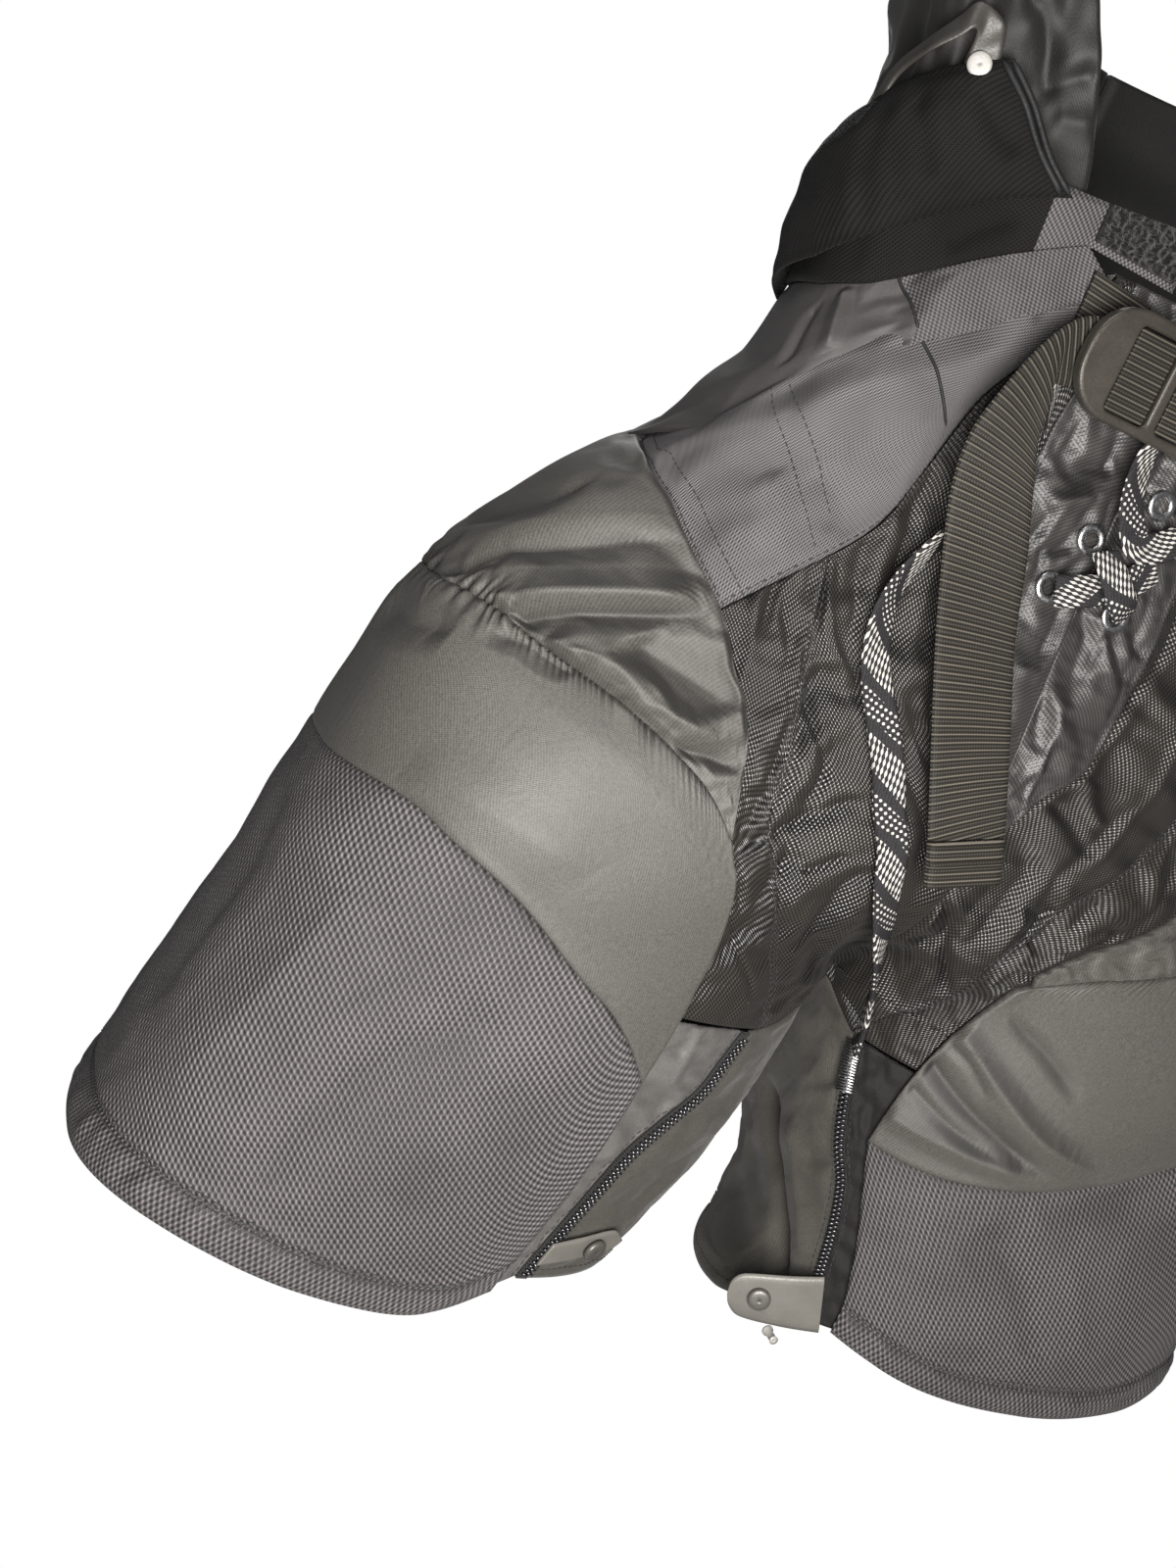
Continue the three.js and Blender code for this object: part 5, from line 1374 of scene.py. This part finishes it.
# Outer and inner finish, slot and cell (mm) of each kind of panel
LOOKS = {
    "hem_band": (COARSE, LINING, "coarse_weave", 1.3),
    "thigh_panel": (COARSE, LINING, "coarse_weave", 1.7),
    "lower_puff": (NYLON, LINING, "nylon", 0.75),
    "upper_puff": (NYLON, LINING, "nylon", 0.9),
    "yoke": (OXFORD, LINING, "oxford", 1.6),
    "waist_panel": (SATIN, LINING, "satin", 1.0),
    "waistband": (BLACK_WEAVE, LINING, "black_weave", 2.0),
    "hip_flap": (BLACK_WEAVE, BLACK_WEAVE, "black_weave", 1.5),
    "kidney_pad": (PAD_NYLON, LINING, "nylon", 1.8),
    "mesh_strip": (MESH, MESH, "mesh", 1.1),
    "front_mesh": (MESH, MESH, "mesh", 1.1),
    "fly": (PLACKET, LINING, "nylon", 0.9),
    "side_facing": (FACING, LINING, "satin", 1.1),
    "zip": (ZIP_TAPE, ZIP_TAPE, "zip_tape", 0.8),
    "gusset": (STRETCH, STRETCH, "stretch", 1.8),
    "back_thigh": (STRETCH, LINING, "stretch", 3.2),
    "seat": (BLACK_WEAVE, LINING, "black_weave", 4.0),
}
# Heights and angles of the seam behind the darker oxford with painted shade, at the front of two panels
OXFORD_ENDS = {"waist_panel": ([197, 203, 207, 216], [47.5, 52, 57, 64]),
               "waistband": ([0], [BAND_OXFORD_ANGLE])}
# Share of filling
PADDED = {"thigh_panel": 0.7, "lower_puff": 0.6, "upper_puff": 0.5, "yoke": 0.6, "hip_flap": 0.5,
          "kidney_pad": 0.6}

# Soft waves of the plainer panels: seed, height, longest and shortest wave, roll at the edge and its width
WAVES = {
    "hem_band": (50, 0.35, 26, 9, 0.8, 3),
    "yoke": (56, 0.35, 70, 20, 0.8, 3),
    "waist_panel": (58, 0.25, 60, 22),
    "waistband": (60, 0.3, 50, 15, 0.5, 2),
    "hip_flap": (62, 0.25, 40, 12, 1.2, 4),
    "gusset": (72, 0.4, 40, 14),
    "back_thigh": (74, 0.6, 60, 22),
    "seat": (76, 0.8, 80, 25),
}
# Waves and folds of the narrow panels: seed, height, longest and shortest wave, folds, half width, depth
STRIPS = {
    "mesh_strip": (64, 0.15, 25, 7, 18, 2.4, 1.8),
    "front_mesh": (66, 0.2, 28, 7, 26, 2.6, 1.9),
    "side_facing": (70, 0.2, 22, 6, 12, 1.6, 0.9),
}

for side, hand in SIDES:
    reliefs = {
        "thigh_panel": thigh_relief(side),
        "lower_puff": lower_puff_relief(side),
        "upper_puff": upper_puff_relief(side),
        "kidney_pad": kidney_relief,
        "fly": fly_relief(side),
    }
    for kind, (seed, *sizes) in WAVES.items():
        reliefs[kind] = soft_relief(seed + side, *sizes)
    for kind, (seed, *sizes) in STRIPS.items():
        reliefs[kind] = strip_relief(seed + side, *sizes)
    for kind, edges in panels_of(side).items():
        finish, lining, slot, cell = LOOKS[kind]
        name = f"{kind}_{hand}"
        if name == "side_facing_left":
            finish = BLACK_FACING
        stand = LINERS[side] if kind == "gusset" else STANDS.get(kind)
        piece = cloth_panel(name, side, edges, PADS[kind], cell, finish, lining, slot, None,
                            reliefs.get(kind), stand)
        if kind in OXFORD_ENDS:
            oxford_front(piece, surfaces[name]["grid"][:-1, :-1], *OXFORD_ENDS[kind])
        if kind in PADDED:
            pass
        else:
            facts = surfaces[name]
            wide, tall = max(facts["wide"], NARROWEST_SHEET), max(facts["tall"], NARROWEST_SHEET)

for side, hand in SIDES:
    low, high = middle_edge(RISE_FRONT, 1, FLY_HIGH), line((SIDE_SEAM, -8), (SIDE_SEAM, FLY_HIGH))
    lining = cloth_panel(f"inner_lining_{hand}", side, spanned(low, high),
                         (-6.2, -6.2, -7.4, -7.4, 0.4), 5.0, LINING, LINING, "satin", ())
    facts = surfaces[f"inner_lining_{hand}"]

belt_edges = (line((9, 206), (20, 208)), line((9, 231.4), (20, 233.4)), line((9, 206), (9, 231.4)),
              line((20, 208), (20, 233.4)))
cloth_panel("belt_right", RIGHT, belt_edges, PADS["belt"], 0.7, WEBBING, WEBBING, "webbing")
patch_edges = (line((7, 240), (22, 241)), line((7, 255), (22, 252)), line((7, 240), (7, 255)),
               line((22, 241), (22, 252)))
cloth_panel("hook_patch_right", RIGHT, patch_edges, PADS["hook_patch"], 0.5, FUZZ, FUZZ, "hook_fuzz", None,
            lambda angle, height, gaps: 0.35 * ripple(80, angle * MM_PER_DEGREE, height, 5, 1.2, 30))


# Straps and vinyl strips, given by their two edges
def ribbon(name, stations, thick, finish, slot, step, ribs=None, corner=0, across=14, skew=(0, 0),
           nodes=None):
    left, right = (by_length(catmull([s[k] for s in stations], 20), 1) for k in (0, 1))
    even = np.linspace(0, 1, 200)
    total = run_length((left(even) + right(even)) / 2)
    t = np.linspace(0, 1, int(total / step) + 2)
    a, b = left(t), right(t)
    if corner:
        inset = np.clip(corner - (1 - t) * total, 0, corner)
        inset = (corner - np.sqrt(corner ** 2 - inset ** 2))[:, None] * unit(b - a)
        a, b = a + inset, b - inset
    x = np.linspace(0, 1, across)
    sheet = a[:, None] + (b - a)[:, None] * x[None, :, None]
    normal = grid_normals(sheet)
    round_off = (1 - np.abs(2 * x - 1) ** 8) ** 0.5
    half = thick / 2 * (0.25 + 0.75 * round_off)[None] * np.ones((len(t), 1))
    turn = skew[0] + (skew[1] - skew[0]) * smooth(t * total, SKEW_START, SKEW_END)
    along = (t * total)[:, None] + turn[:, None] * x[None]
    extra = ribs(along, x) if ribs else 0
    outer = sheet + normal * (half + extra)[..., None]
    inner = sheet - normal * (half + extra)[..., None]
    wide = np.linalg.norm(b - a, axis=1).mean()
    uv = np.stack(np.broadcast_arrays((x * wide)[None], along), -1)
    piece = add_layers(name, outer, inner, finish, uv, None, (name,) if nodes is None else nodes, slot)
    surfaces[name] = {"points": outer, "normals": normal, "wide": wide * MM, "tall": total * MM}
    return piece


# Tapes inside the middle back seam, which close it between the two halves
for kind, finish, slot in (("seat", BLACK_WEAVE, "black_weave"), ("waistband", BLACK_WEAVE, "black_weave"),
                           ("kidney_pad", PAD_NYLON, "nylon")):
    sunk = []
    for hand in ("right", "left"):
        facts = surfaces[f"{kind}_{hand}"]
        rows = facts["points"][::3, -4] - facts["normals"][::3, -4]
        if kind == "seat":
            rows = np.concatenate([rows[:1] + TAPE_LEAD, rows])
        sunk.append(rows)
    ribbon(f"{kind}_tape", list(zip(*sunk)), TAPE_THICKNESS, finish, slot, 1.5, nodes=())


def strap_ribs(along, x):
    main = 0.5 + 0.5 * np.cos(2 * np.pi * along / STRAP_RIB)
    weave = np.cos(4 * np.pi * along / STRAP_RIB) * np.cos(2 * np.pi * x[None] * 11)
    return 0.22 * main ** 2 + 0.05 * weave - 0.1


# Upper and lower edge of the strap and of its folded end, from the buckle down
STRAP = [
    ((-35, -46.4, 223), (-35.5, -46.4, 200)), ((-45.5, -47.6, 218.5), (-44.5, -48.4, 198.5)),
    ((-54.5, -50.5, 207), (-45.5, -52.4, 194)), ((-61, -52.5, 191), (-44.5, -54.5, 188)),
    ((-64, -52.5, 176), (-43.5, -55, 181)), ((-62.5, -54, 160), (-38.5, -56.5, 168)),
    ((-57, -57.5, 141), (-32, -59.5, 150)), ((-49, -62, 118), (-24.5, -62, 127)),
    ((-37.5, -66, 91), (-13, -66, 100)), ((-24.5, -68.5, 63), (-0.5, -68.5, 72.5)),
]
STRAP_END = [
    ((-24.2, -68.5, 62.2), (-0.2, -68.5, 71.7)), ((-20.2, -68.8, 53), (3.8, -68.8, 62.5)),
    ((-18.6, -68.8, 49.3), (5.4, -68.8, 58.8)),
]
strap = ribbon("strap", STRAP, WEBBING_THICKNESS, WEBBING, "webbing", 0.3, strap_ribs, across=24,
               skew=STRAP_SKEW)


def end_ribs(along, x):
    tight = np.where(along < 5.5, 0.4 * (0.5 + 0.5 * np.cos(2 * np.pi * along / 1.0)) - 0.3, 0)
    fold = 1.1 * np.exp(-((along - 6.6) / 0.8) ** 2)
    return (tight + fold) * np.ones_like(x)[None]


ribbon("strap_end", STRAP_END, WEBBING_THICKNESS * 2.4, WEBBING, "webbing", 0.2, end_ribs, across=24)

# Both edges of a flap loop: angle, height and stand off the shell
LOOP = [((91, 250, 2), (86, 247, 2)), ((86, 261, 2.4), (81.5, 258.5, 3.2)),
        ((75, 271, 3), (71.5, 267, 7.5)), ((67.5, 280, 3.2), (65, 273.5, 8.5)),
        ((63.5, 285, 5), (62.5, 277, 8.5)), ((56.5, 282.5, 5.5), (61.5, 276.5, 5.5)),
        ((54.4, 277, 2.4), (62.2, 270, 2.4)), ((53.5, 267, 1.9), (62, 259, 1.9))]
for side, hand in SIDES:
    stations = [tuple(lifted(side, *end) for end in pair) for pair in LOOP]
    ribbon(f"flap_loop_{hand}", stations, VINYL_THICKNESS, DARK_VINYL, "vinyl", 0.8)

HEM_TABS = {
    "hem_tab_left": [((38, -38, -97.5), (46, -38.5, -118)), ((28, -35.5, -101.5), (34, -36, -120.5)),
                     ((16, -31, -106.5), (21, -31.5, -123)), ((10, -28.5, -110), (14, -29, -122.5))],
    "hem_tab_right": [((-70, -53, -103), (-72, -52.5, -112)), ((-60, -50.5, -99.5), (-60, -48.5, -109.5)),
                      ((-50, -47, -96.5), (-48, -43.5, -106.5)), ((-44.5, -45, -97), (-42, -41, -104))],
}
for name, stations in HEM_TABS.items():
    ribbon(name, stations, VINYL_THICKNESS, VINYL, "vinyl", 0.3, corner=TAB_CORNER)


# Turned metal parts: a profile of radius and height spun round an axis
def spun(name, profile, place, axis, finish, turns=36):
    axis = unit(np.array(axis, float))
    side = unit(np.cross(axis, (0.3, 0.2, 0.9)))
    other = np.cross(axis, side)
    turn = np.linspace(0, 2 * np.pi, turns, endpoint=False)
    ring = np.cos(turn)[:, None] * side + np.sin(turn)[:, None] * other
    rows = [place + ring * r + axis * z for r, z in profile]
    points = np.concatenate(rows)
    count = len(profile)
    index = np.arange(count * turns).reshape(count, turns)
    faces = tube_faces(np.concatenate([index, index[:1]]))
    add_piece(name, points, faces, finish, nodes=(name,), slot="metal")


def ring_profile(hole, rim, tall):
    middle, half = (hole + rim) / 2, (rim - hole) / 2
    turn = np.linspace(0, 2 * np.pi, 14, endpoint=False)
    return [(middle + half * np.cos(a), tall * 0.5 + tall * 0.5 * np.sin(a)) for a in turn]


for name, (side, angle, height) in EYELETS.items():
    spun(name, ring_profile(2.4, 5, 1.5), lifted(side, angle, height, 0.1),
         outward(side, np.array(float(angle)), np.array(float(height))), METAL)
BUTTON = [(0.01, 0), (1.0, 0), (1.0, 0.45), (0.95, 0.75), (0.85, 0.92), (0.6, 1.0), (0.3, 1.02),
          (0.01, 1.02)]
for side, hand in SIDES:
    spun(f"loop_snap_{hand}", [(r * 3.6, z) for r, z in BUTTON], lifted(side, *LOOP_SNAP_PLACE, 3.75),
         outward(side, *map(np.array, LOOP_SNAP_PLACE)), PALE_METAL)
TAB_SNAPS = {"tab_snap_left": ((21.2, -33.9, -113.5), (-0.34, -0.94, 0)),
             "tab_snap_right": ((-53.9, -48.9, -103.3), (0.43, -0.88, -0.19))}
for name, (place, axis) in TAB_SNAPS.items():
    spun(name, [(r * 4, z * 1.8) for r, z in BUTTON], np.array(place), axis, SNAP_METAL)
STUD = [(0.01, -3.25), (1.6, -3.25), (2.0, -2.9), (2.0, -2.2), (1.3, -1.8), (1.3, 2.6), (1.6, 3.25),
        (0.01, 3.25)]
spun("tab_stud", STUD, np.array([31.5, -34.8, -125.2]), (0, -1, 0), PALE_METAL)


# Buckle and the webbing in its windows, drawn flat and thickened with rounded edges
def outline(left, right, low, high, radius):
    turn = np.linspace(0, np.pi / 2, 10)
    corners = [((right - radius, high - radius), 0), ((left + radius, high - radius), 1),
               ((left + radius, low + radius), 2), ((right - radius, low + radius), 3)]
    return [(x + radius * np.cos(a + k * np.pi / 2), z + radius * np.sin(a + k * np.pi / 2))
            for (x, z), k in corners for a in turn]


def flat_solid(name, loops, front, thick, bevel, finish, slot):
    data = bpy.data.curves.new(name, "CURVE")
    data.dimensions = "2D"
    data.fill_mode = "BOTH"
    data.extrude = (thick / 2 - bevel) * MM
    data.bevel_depth = bevel * MM
    data.bevel_resolution = 3
    data.offset = -bevel * MM
    for loop in loops:
        track = data.splines.new("POLY")
        track.points.add(len(loop) - 1)
        track.use_cyclic_u = True
        for point, (x, z) in zip(track.points, loop):
            point.co = (x * MM, z * MM, 0, 1)
    drawn = add_object(name + "_drawn", data)
    bpy.context.view_layer.update()
    flat = drawn.to_mesh()
    points = np.array([v.co for v in flat.vertices]) / MM
    turned = np.stack([points[:, 0], front + thick / 2 - points[:, 2], points[:, 1]], 1)
    mesh = bpy.data.meshes.new(name)
    mesh.from_pydata(((turned + WAIST_MIDDLE) * MM).tolist(), [], [list(p.vertices) for p in flat.polygons])
    cloth = mesh.uv_layers.new(name="cloth")
    spots = np.array([points[k, :2] for p in flat.polygons for k in p.vertices])
    cloth.data.foreach_set("uv", (spots * MM).astype(np.float32).reshape(-1))
    drawn.to_mesh_clear()
    bpy.data.objects.remove(drawn)
    bpy.data.curves.remove(data)
    mesh.materials.append(finish)
    register(add_object(name, mesh), (name,), slot)


WINDOWS = [(-28.5, -13), (-9, 6.5)]
WRAP_FRONT = -53
WRAP_BACKS = (-43.4, -40.6)
holes = [outline(a, b, 198.3, 224.5, 2) for a, b in WINDOWS]
flat_solid("buckle", [outline(-42, 20, 195, 229, 15)] + holes, -53.8, 5, 1.2, PEWTER, "buckle_plastic")
for (a, b), hand, back in zip(WINDOWS, ("right", "left"), WRAP_BACKS):
    loop = outline(a + 0.5, b - 0.5, 198.8, 224, 1)
    flat_solid(f"belt_wrap_{hand}", [loop], WRAP_FRONT, back - WRAP_FRONT, 0.6, WEBBING, "webbing")


# Zip teeth, with the bright upper ones of the left zip
def boxes(name, places, axes, sizes, finish, slot):
    corner = np.array([[x, y, z] for x in (-1, 1) for y in (-1, 1) for z in (-1, 1)]) / 2
    sides = np.array([[0, 1, 3, 2], [4, 6, 7, 5], [0, 4, 5, 1], [2, 3, 7, 6], [0, 2, 6, 4], [1, 5, 7, 3]])
    points = places[:, None] + np.einsum("kc,nca->nka", corner * sizes, axes)
    faces = (sides[None] + 8 * np.arange(len(places))[:, None, None]).reshape(-1, 4)
    add_piece(name, points.reshape(-1, 3), faces, finish, slot=slot)


for side, hand in SIDES:
    tape = surfaces[f"zip_{hand}"]
    middle = tape["points"][:, tape["points"].shape[1] // 2]
    normals = tape["normals"][:, tape["points"].shape[1] // 2]
    walk = by_length(np.concatenate([middle, normals * 0.001], 1), 1)
    length = run_length(middle)
    t = np.linspace(0.02, 0.98, int(length / ZIP_PITCH))
    both = walk(t)
    at, out = both[:, :3], unit(both[:, 3:])
    along = unit(np.gradient(at, axis=0))
    aside = np.cross(along, out)
    shift = np.where(np.arange(len(t)) % 2, 0.75, -0.75)[:, None]
    if side == LEFT:
        top = np.linspace(1 - BRIGHT_TEETH / length, 0.995, BRIGHT_TEETH)
        rows = walk(top)
        run = unit(np.gradient(rows[:, :3], axis=0))
        face = unit(rows[:, 3:])
        wide = np.cross(run, face)
        boxes("zip_bright_teeth", rows[:, :3] + face, np.stack([wide, run, face], 1), BRIGHT_TOOTH,
              METAL, "metal")
    boxes(f"zip_teeth_{hand}", at + aside * shift + out * 0.5, np.stack([aside, along, out], 1), ZIP_TOOTH,
          DARK_METAL, "zip_tape")


# Stitches: short thread stitches laid along lines on the cloth
def edge_track(name, edge, gap):
    facts = surfaces[name]
    points, normals = facts["points"], facts["normals"]
    if edge in ("inner", "outer"):
        points, normals = points.transpose(1, 0, 2), normals.transpose(1, 0, 2)
    if edge in ("top", "outer"):
        points, normals = points[::-1], normals[::-1]
    runs = lengths(points, 0)
    rows = []
    for k in range(points.shape[1]):
        both = np.concatenate([points[:, k], normals[:, k]], 1)
        rows.append([np.interp(gap, runs[:, k], both[:, c]) for c in range(6)])
    rows = np.array(rows)
    return rows[:, :3], unit(rows[:, 3:])


def place_track(name, rows):
    facts = surfaces[name]
    track = catmull(np.array(rows) * FLAT, 12)
    flat = facts["grid"].reshape(-1, 2) * FLAT
    gap = ((track[:, None] - flat[None]) ** 2).sum(-1)
    near = np.argsort(gap, 1)[:, :6]
    weight = 1 / (np.take_along_axis(gap, near, 1) + 0.05)
    weight = weight / weight.sum(1, keepdims=True)
    lift = (facts["lift"].reshape(-1)[near] * weight).sum(1)
    normal = unit((facts["normals"].reshape(-1, 3)[near] * weight[..., None]).sum(1))
    place = track / FLAT
    return lifted(facts["side"], place[:, 0], place[:, 1], lift), normal


threads = []


def stitch(points, normals):
    both = by_length(np.concatenate([points, normals * 0.001], 1), 1)
    total = run_length(points)
    t = (np.arange(int(total / STITCH_PITCH)) + 0.5) * STITCH_PITCH / total
    if len(t) < 3:
        return
    rows = both(t)
    at, out = rows[:, :3], unit(rows[:, 3:])
    along = unit(np.gradient(at, axis=0))
    aside = np.cross(along, out)
    threads.append((at + out * STITCH_RADIUS * 0.4, along * STITCH_LENGTH / 2, aside * STITCH_RADIUS,
                    out * STITCH_RADIUS))


def add_threads(name):
    at, along, aside, out = (np.concatenate([t[k] for t in threads]) for k in range(4))
    rings = [(-1.0, 0.25), (-0.5, 1.0), (0.5, 1.0), (1.0, 0.25)]
    turn = np.linspace(0, 2 * np.pi, 4, endpoint=False)
    points = np.concatenate([at + along * s + (aside * np.cos(a) + out * np.sin(a)) * r
                             for s, r in rings for a in turn]).reshape(len(rings), 4, len(at), 3)
    points = points.transpose(2, 0, 1, 3).reshape(-1, 3)
    index = np.arange(len(rings) * 4).reshape(len(rings), 4)
    faces = (tube_faces(index)[None] + index.size * np.arange(len(at))[:, None, None]).reshape(-1, 4)
    add_piece(name, points, faces, THREAD)


for hand in ("right", "left"):
    for kind, edge, gap in (
        ("hem_band", "top", 1.2), ("thigh_panel", "bottom", 1.8), ("yoke", "outer", 1.8),
        ("yoke", "outer", 8.5),
        ("yoke", "bottom", 1.8), ("yoke", "inner", 2.0), ("fly", "outer", 2.0),
        ("mesh_strip", "inner", 1.5),
        ("front_mesh", "outer", 1.5), ("kidney_pad", "top", 3.0),
        ("seat", "outer", 3.0), ("seat", "top", 3.0), ("back_thigh", "bottom", 5.0),
        ("side_facing", "inner", 1.5),
        ("gusset", "inner", 2.0), ("gusset", "bottom", 4.0),
    ):
        stitch(*edge_track(f"{kind}_{hand}", edge, gap))
YOKE_LINES = ([(77.5, 165), (58.5, 151), (45.5, 138), (35.5, 127)],
              [(72, 168), (60, 160), (50.5, 151), (42, 141), (38.5, 137)])
for hand in ("right", "left"):
    for rows in YOKE_LINES:
        stitch(*place_track(f"yoke_{hand}", rows))
stitch(*place_track("fly_right", [(5.5, 129), (2.5, 130), (-0.5, 130)]))
stitch(*place_track("fly_left", [(3, 125), (6, 120), (8, 120)]))
add_threads("stitches")


# Piping: thin cords along the front edge of each hip flap and in the waist seam
def piping(name, tracks, radius, sides=8):
    turn = np.linspace(0, 2 * np.pi, sides, endpoint=False)
    all_points, all_faces, count = [], [], 0
    for points, normals in tracks:
        along = unit(np.gradient(points, axis=0))
        aside = np.cross(along, normals)
        ends_in = np.minimum(1, np.minimum(np.arange(len(points)), np.arange(len(points))[::-1]) / 2 + 0.02)
        ring = aside[:, None] * np.cos(turn)[None, :, None] + normals[:, None] * np.sin(turn)[None, :, None]
        rows = points[:, None] + normals[:, None] * radius * 0.3 + ring * (radius * ends_in)[:, None, None]
        index = np.arange(rows.shape[0] * sides).reshape(-1, sides) + count
        all_faces.append(tube_faces(index))
        all_points.append(rows.reshape(-1, 3))
        count += index.size
    add_piece(name, np.concatenate(all_points), np.concatenate(all_faces), PIPING, slot="black_weave")


for hand in ("right", "left"):
    piping(f"flap_piping_{hand}", [edge_track(f"hip_flap_{hand}", "inner", gap) for gap in (0.8, 3.6)], 1.1)
    seam = [place_track(f"waist_panel_{hand}", [(64, 216), (57, 207), (52, 203), (47.5, 197)]),
            place_track(f"yoke_{hand}", [(47, 196), (39.5, 188), (32.5, 175)])]
    piping(f"waist_seam_{hand}", seam, 0.5)
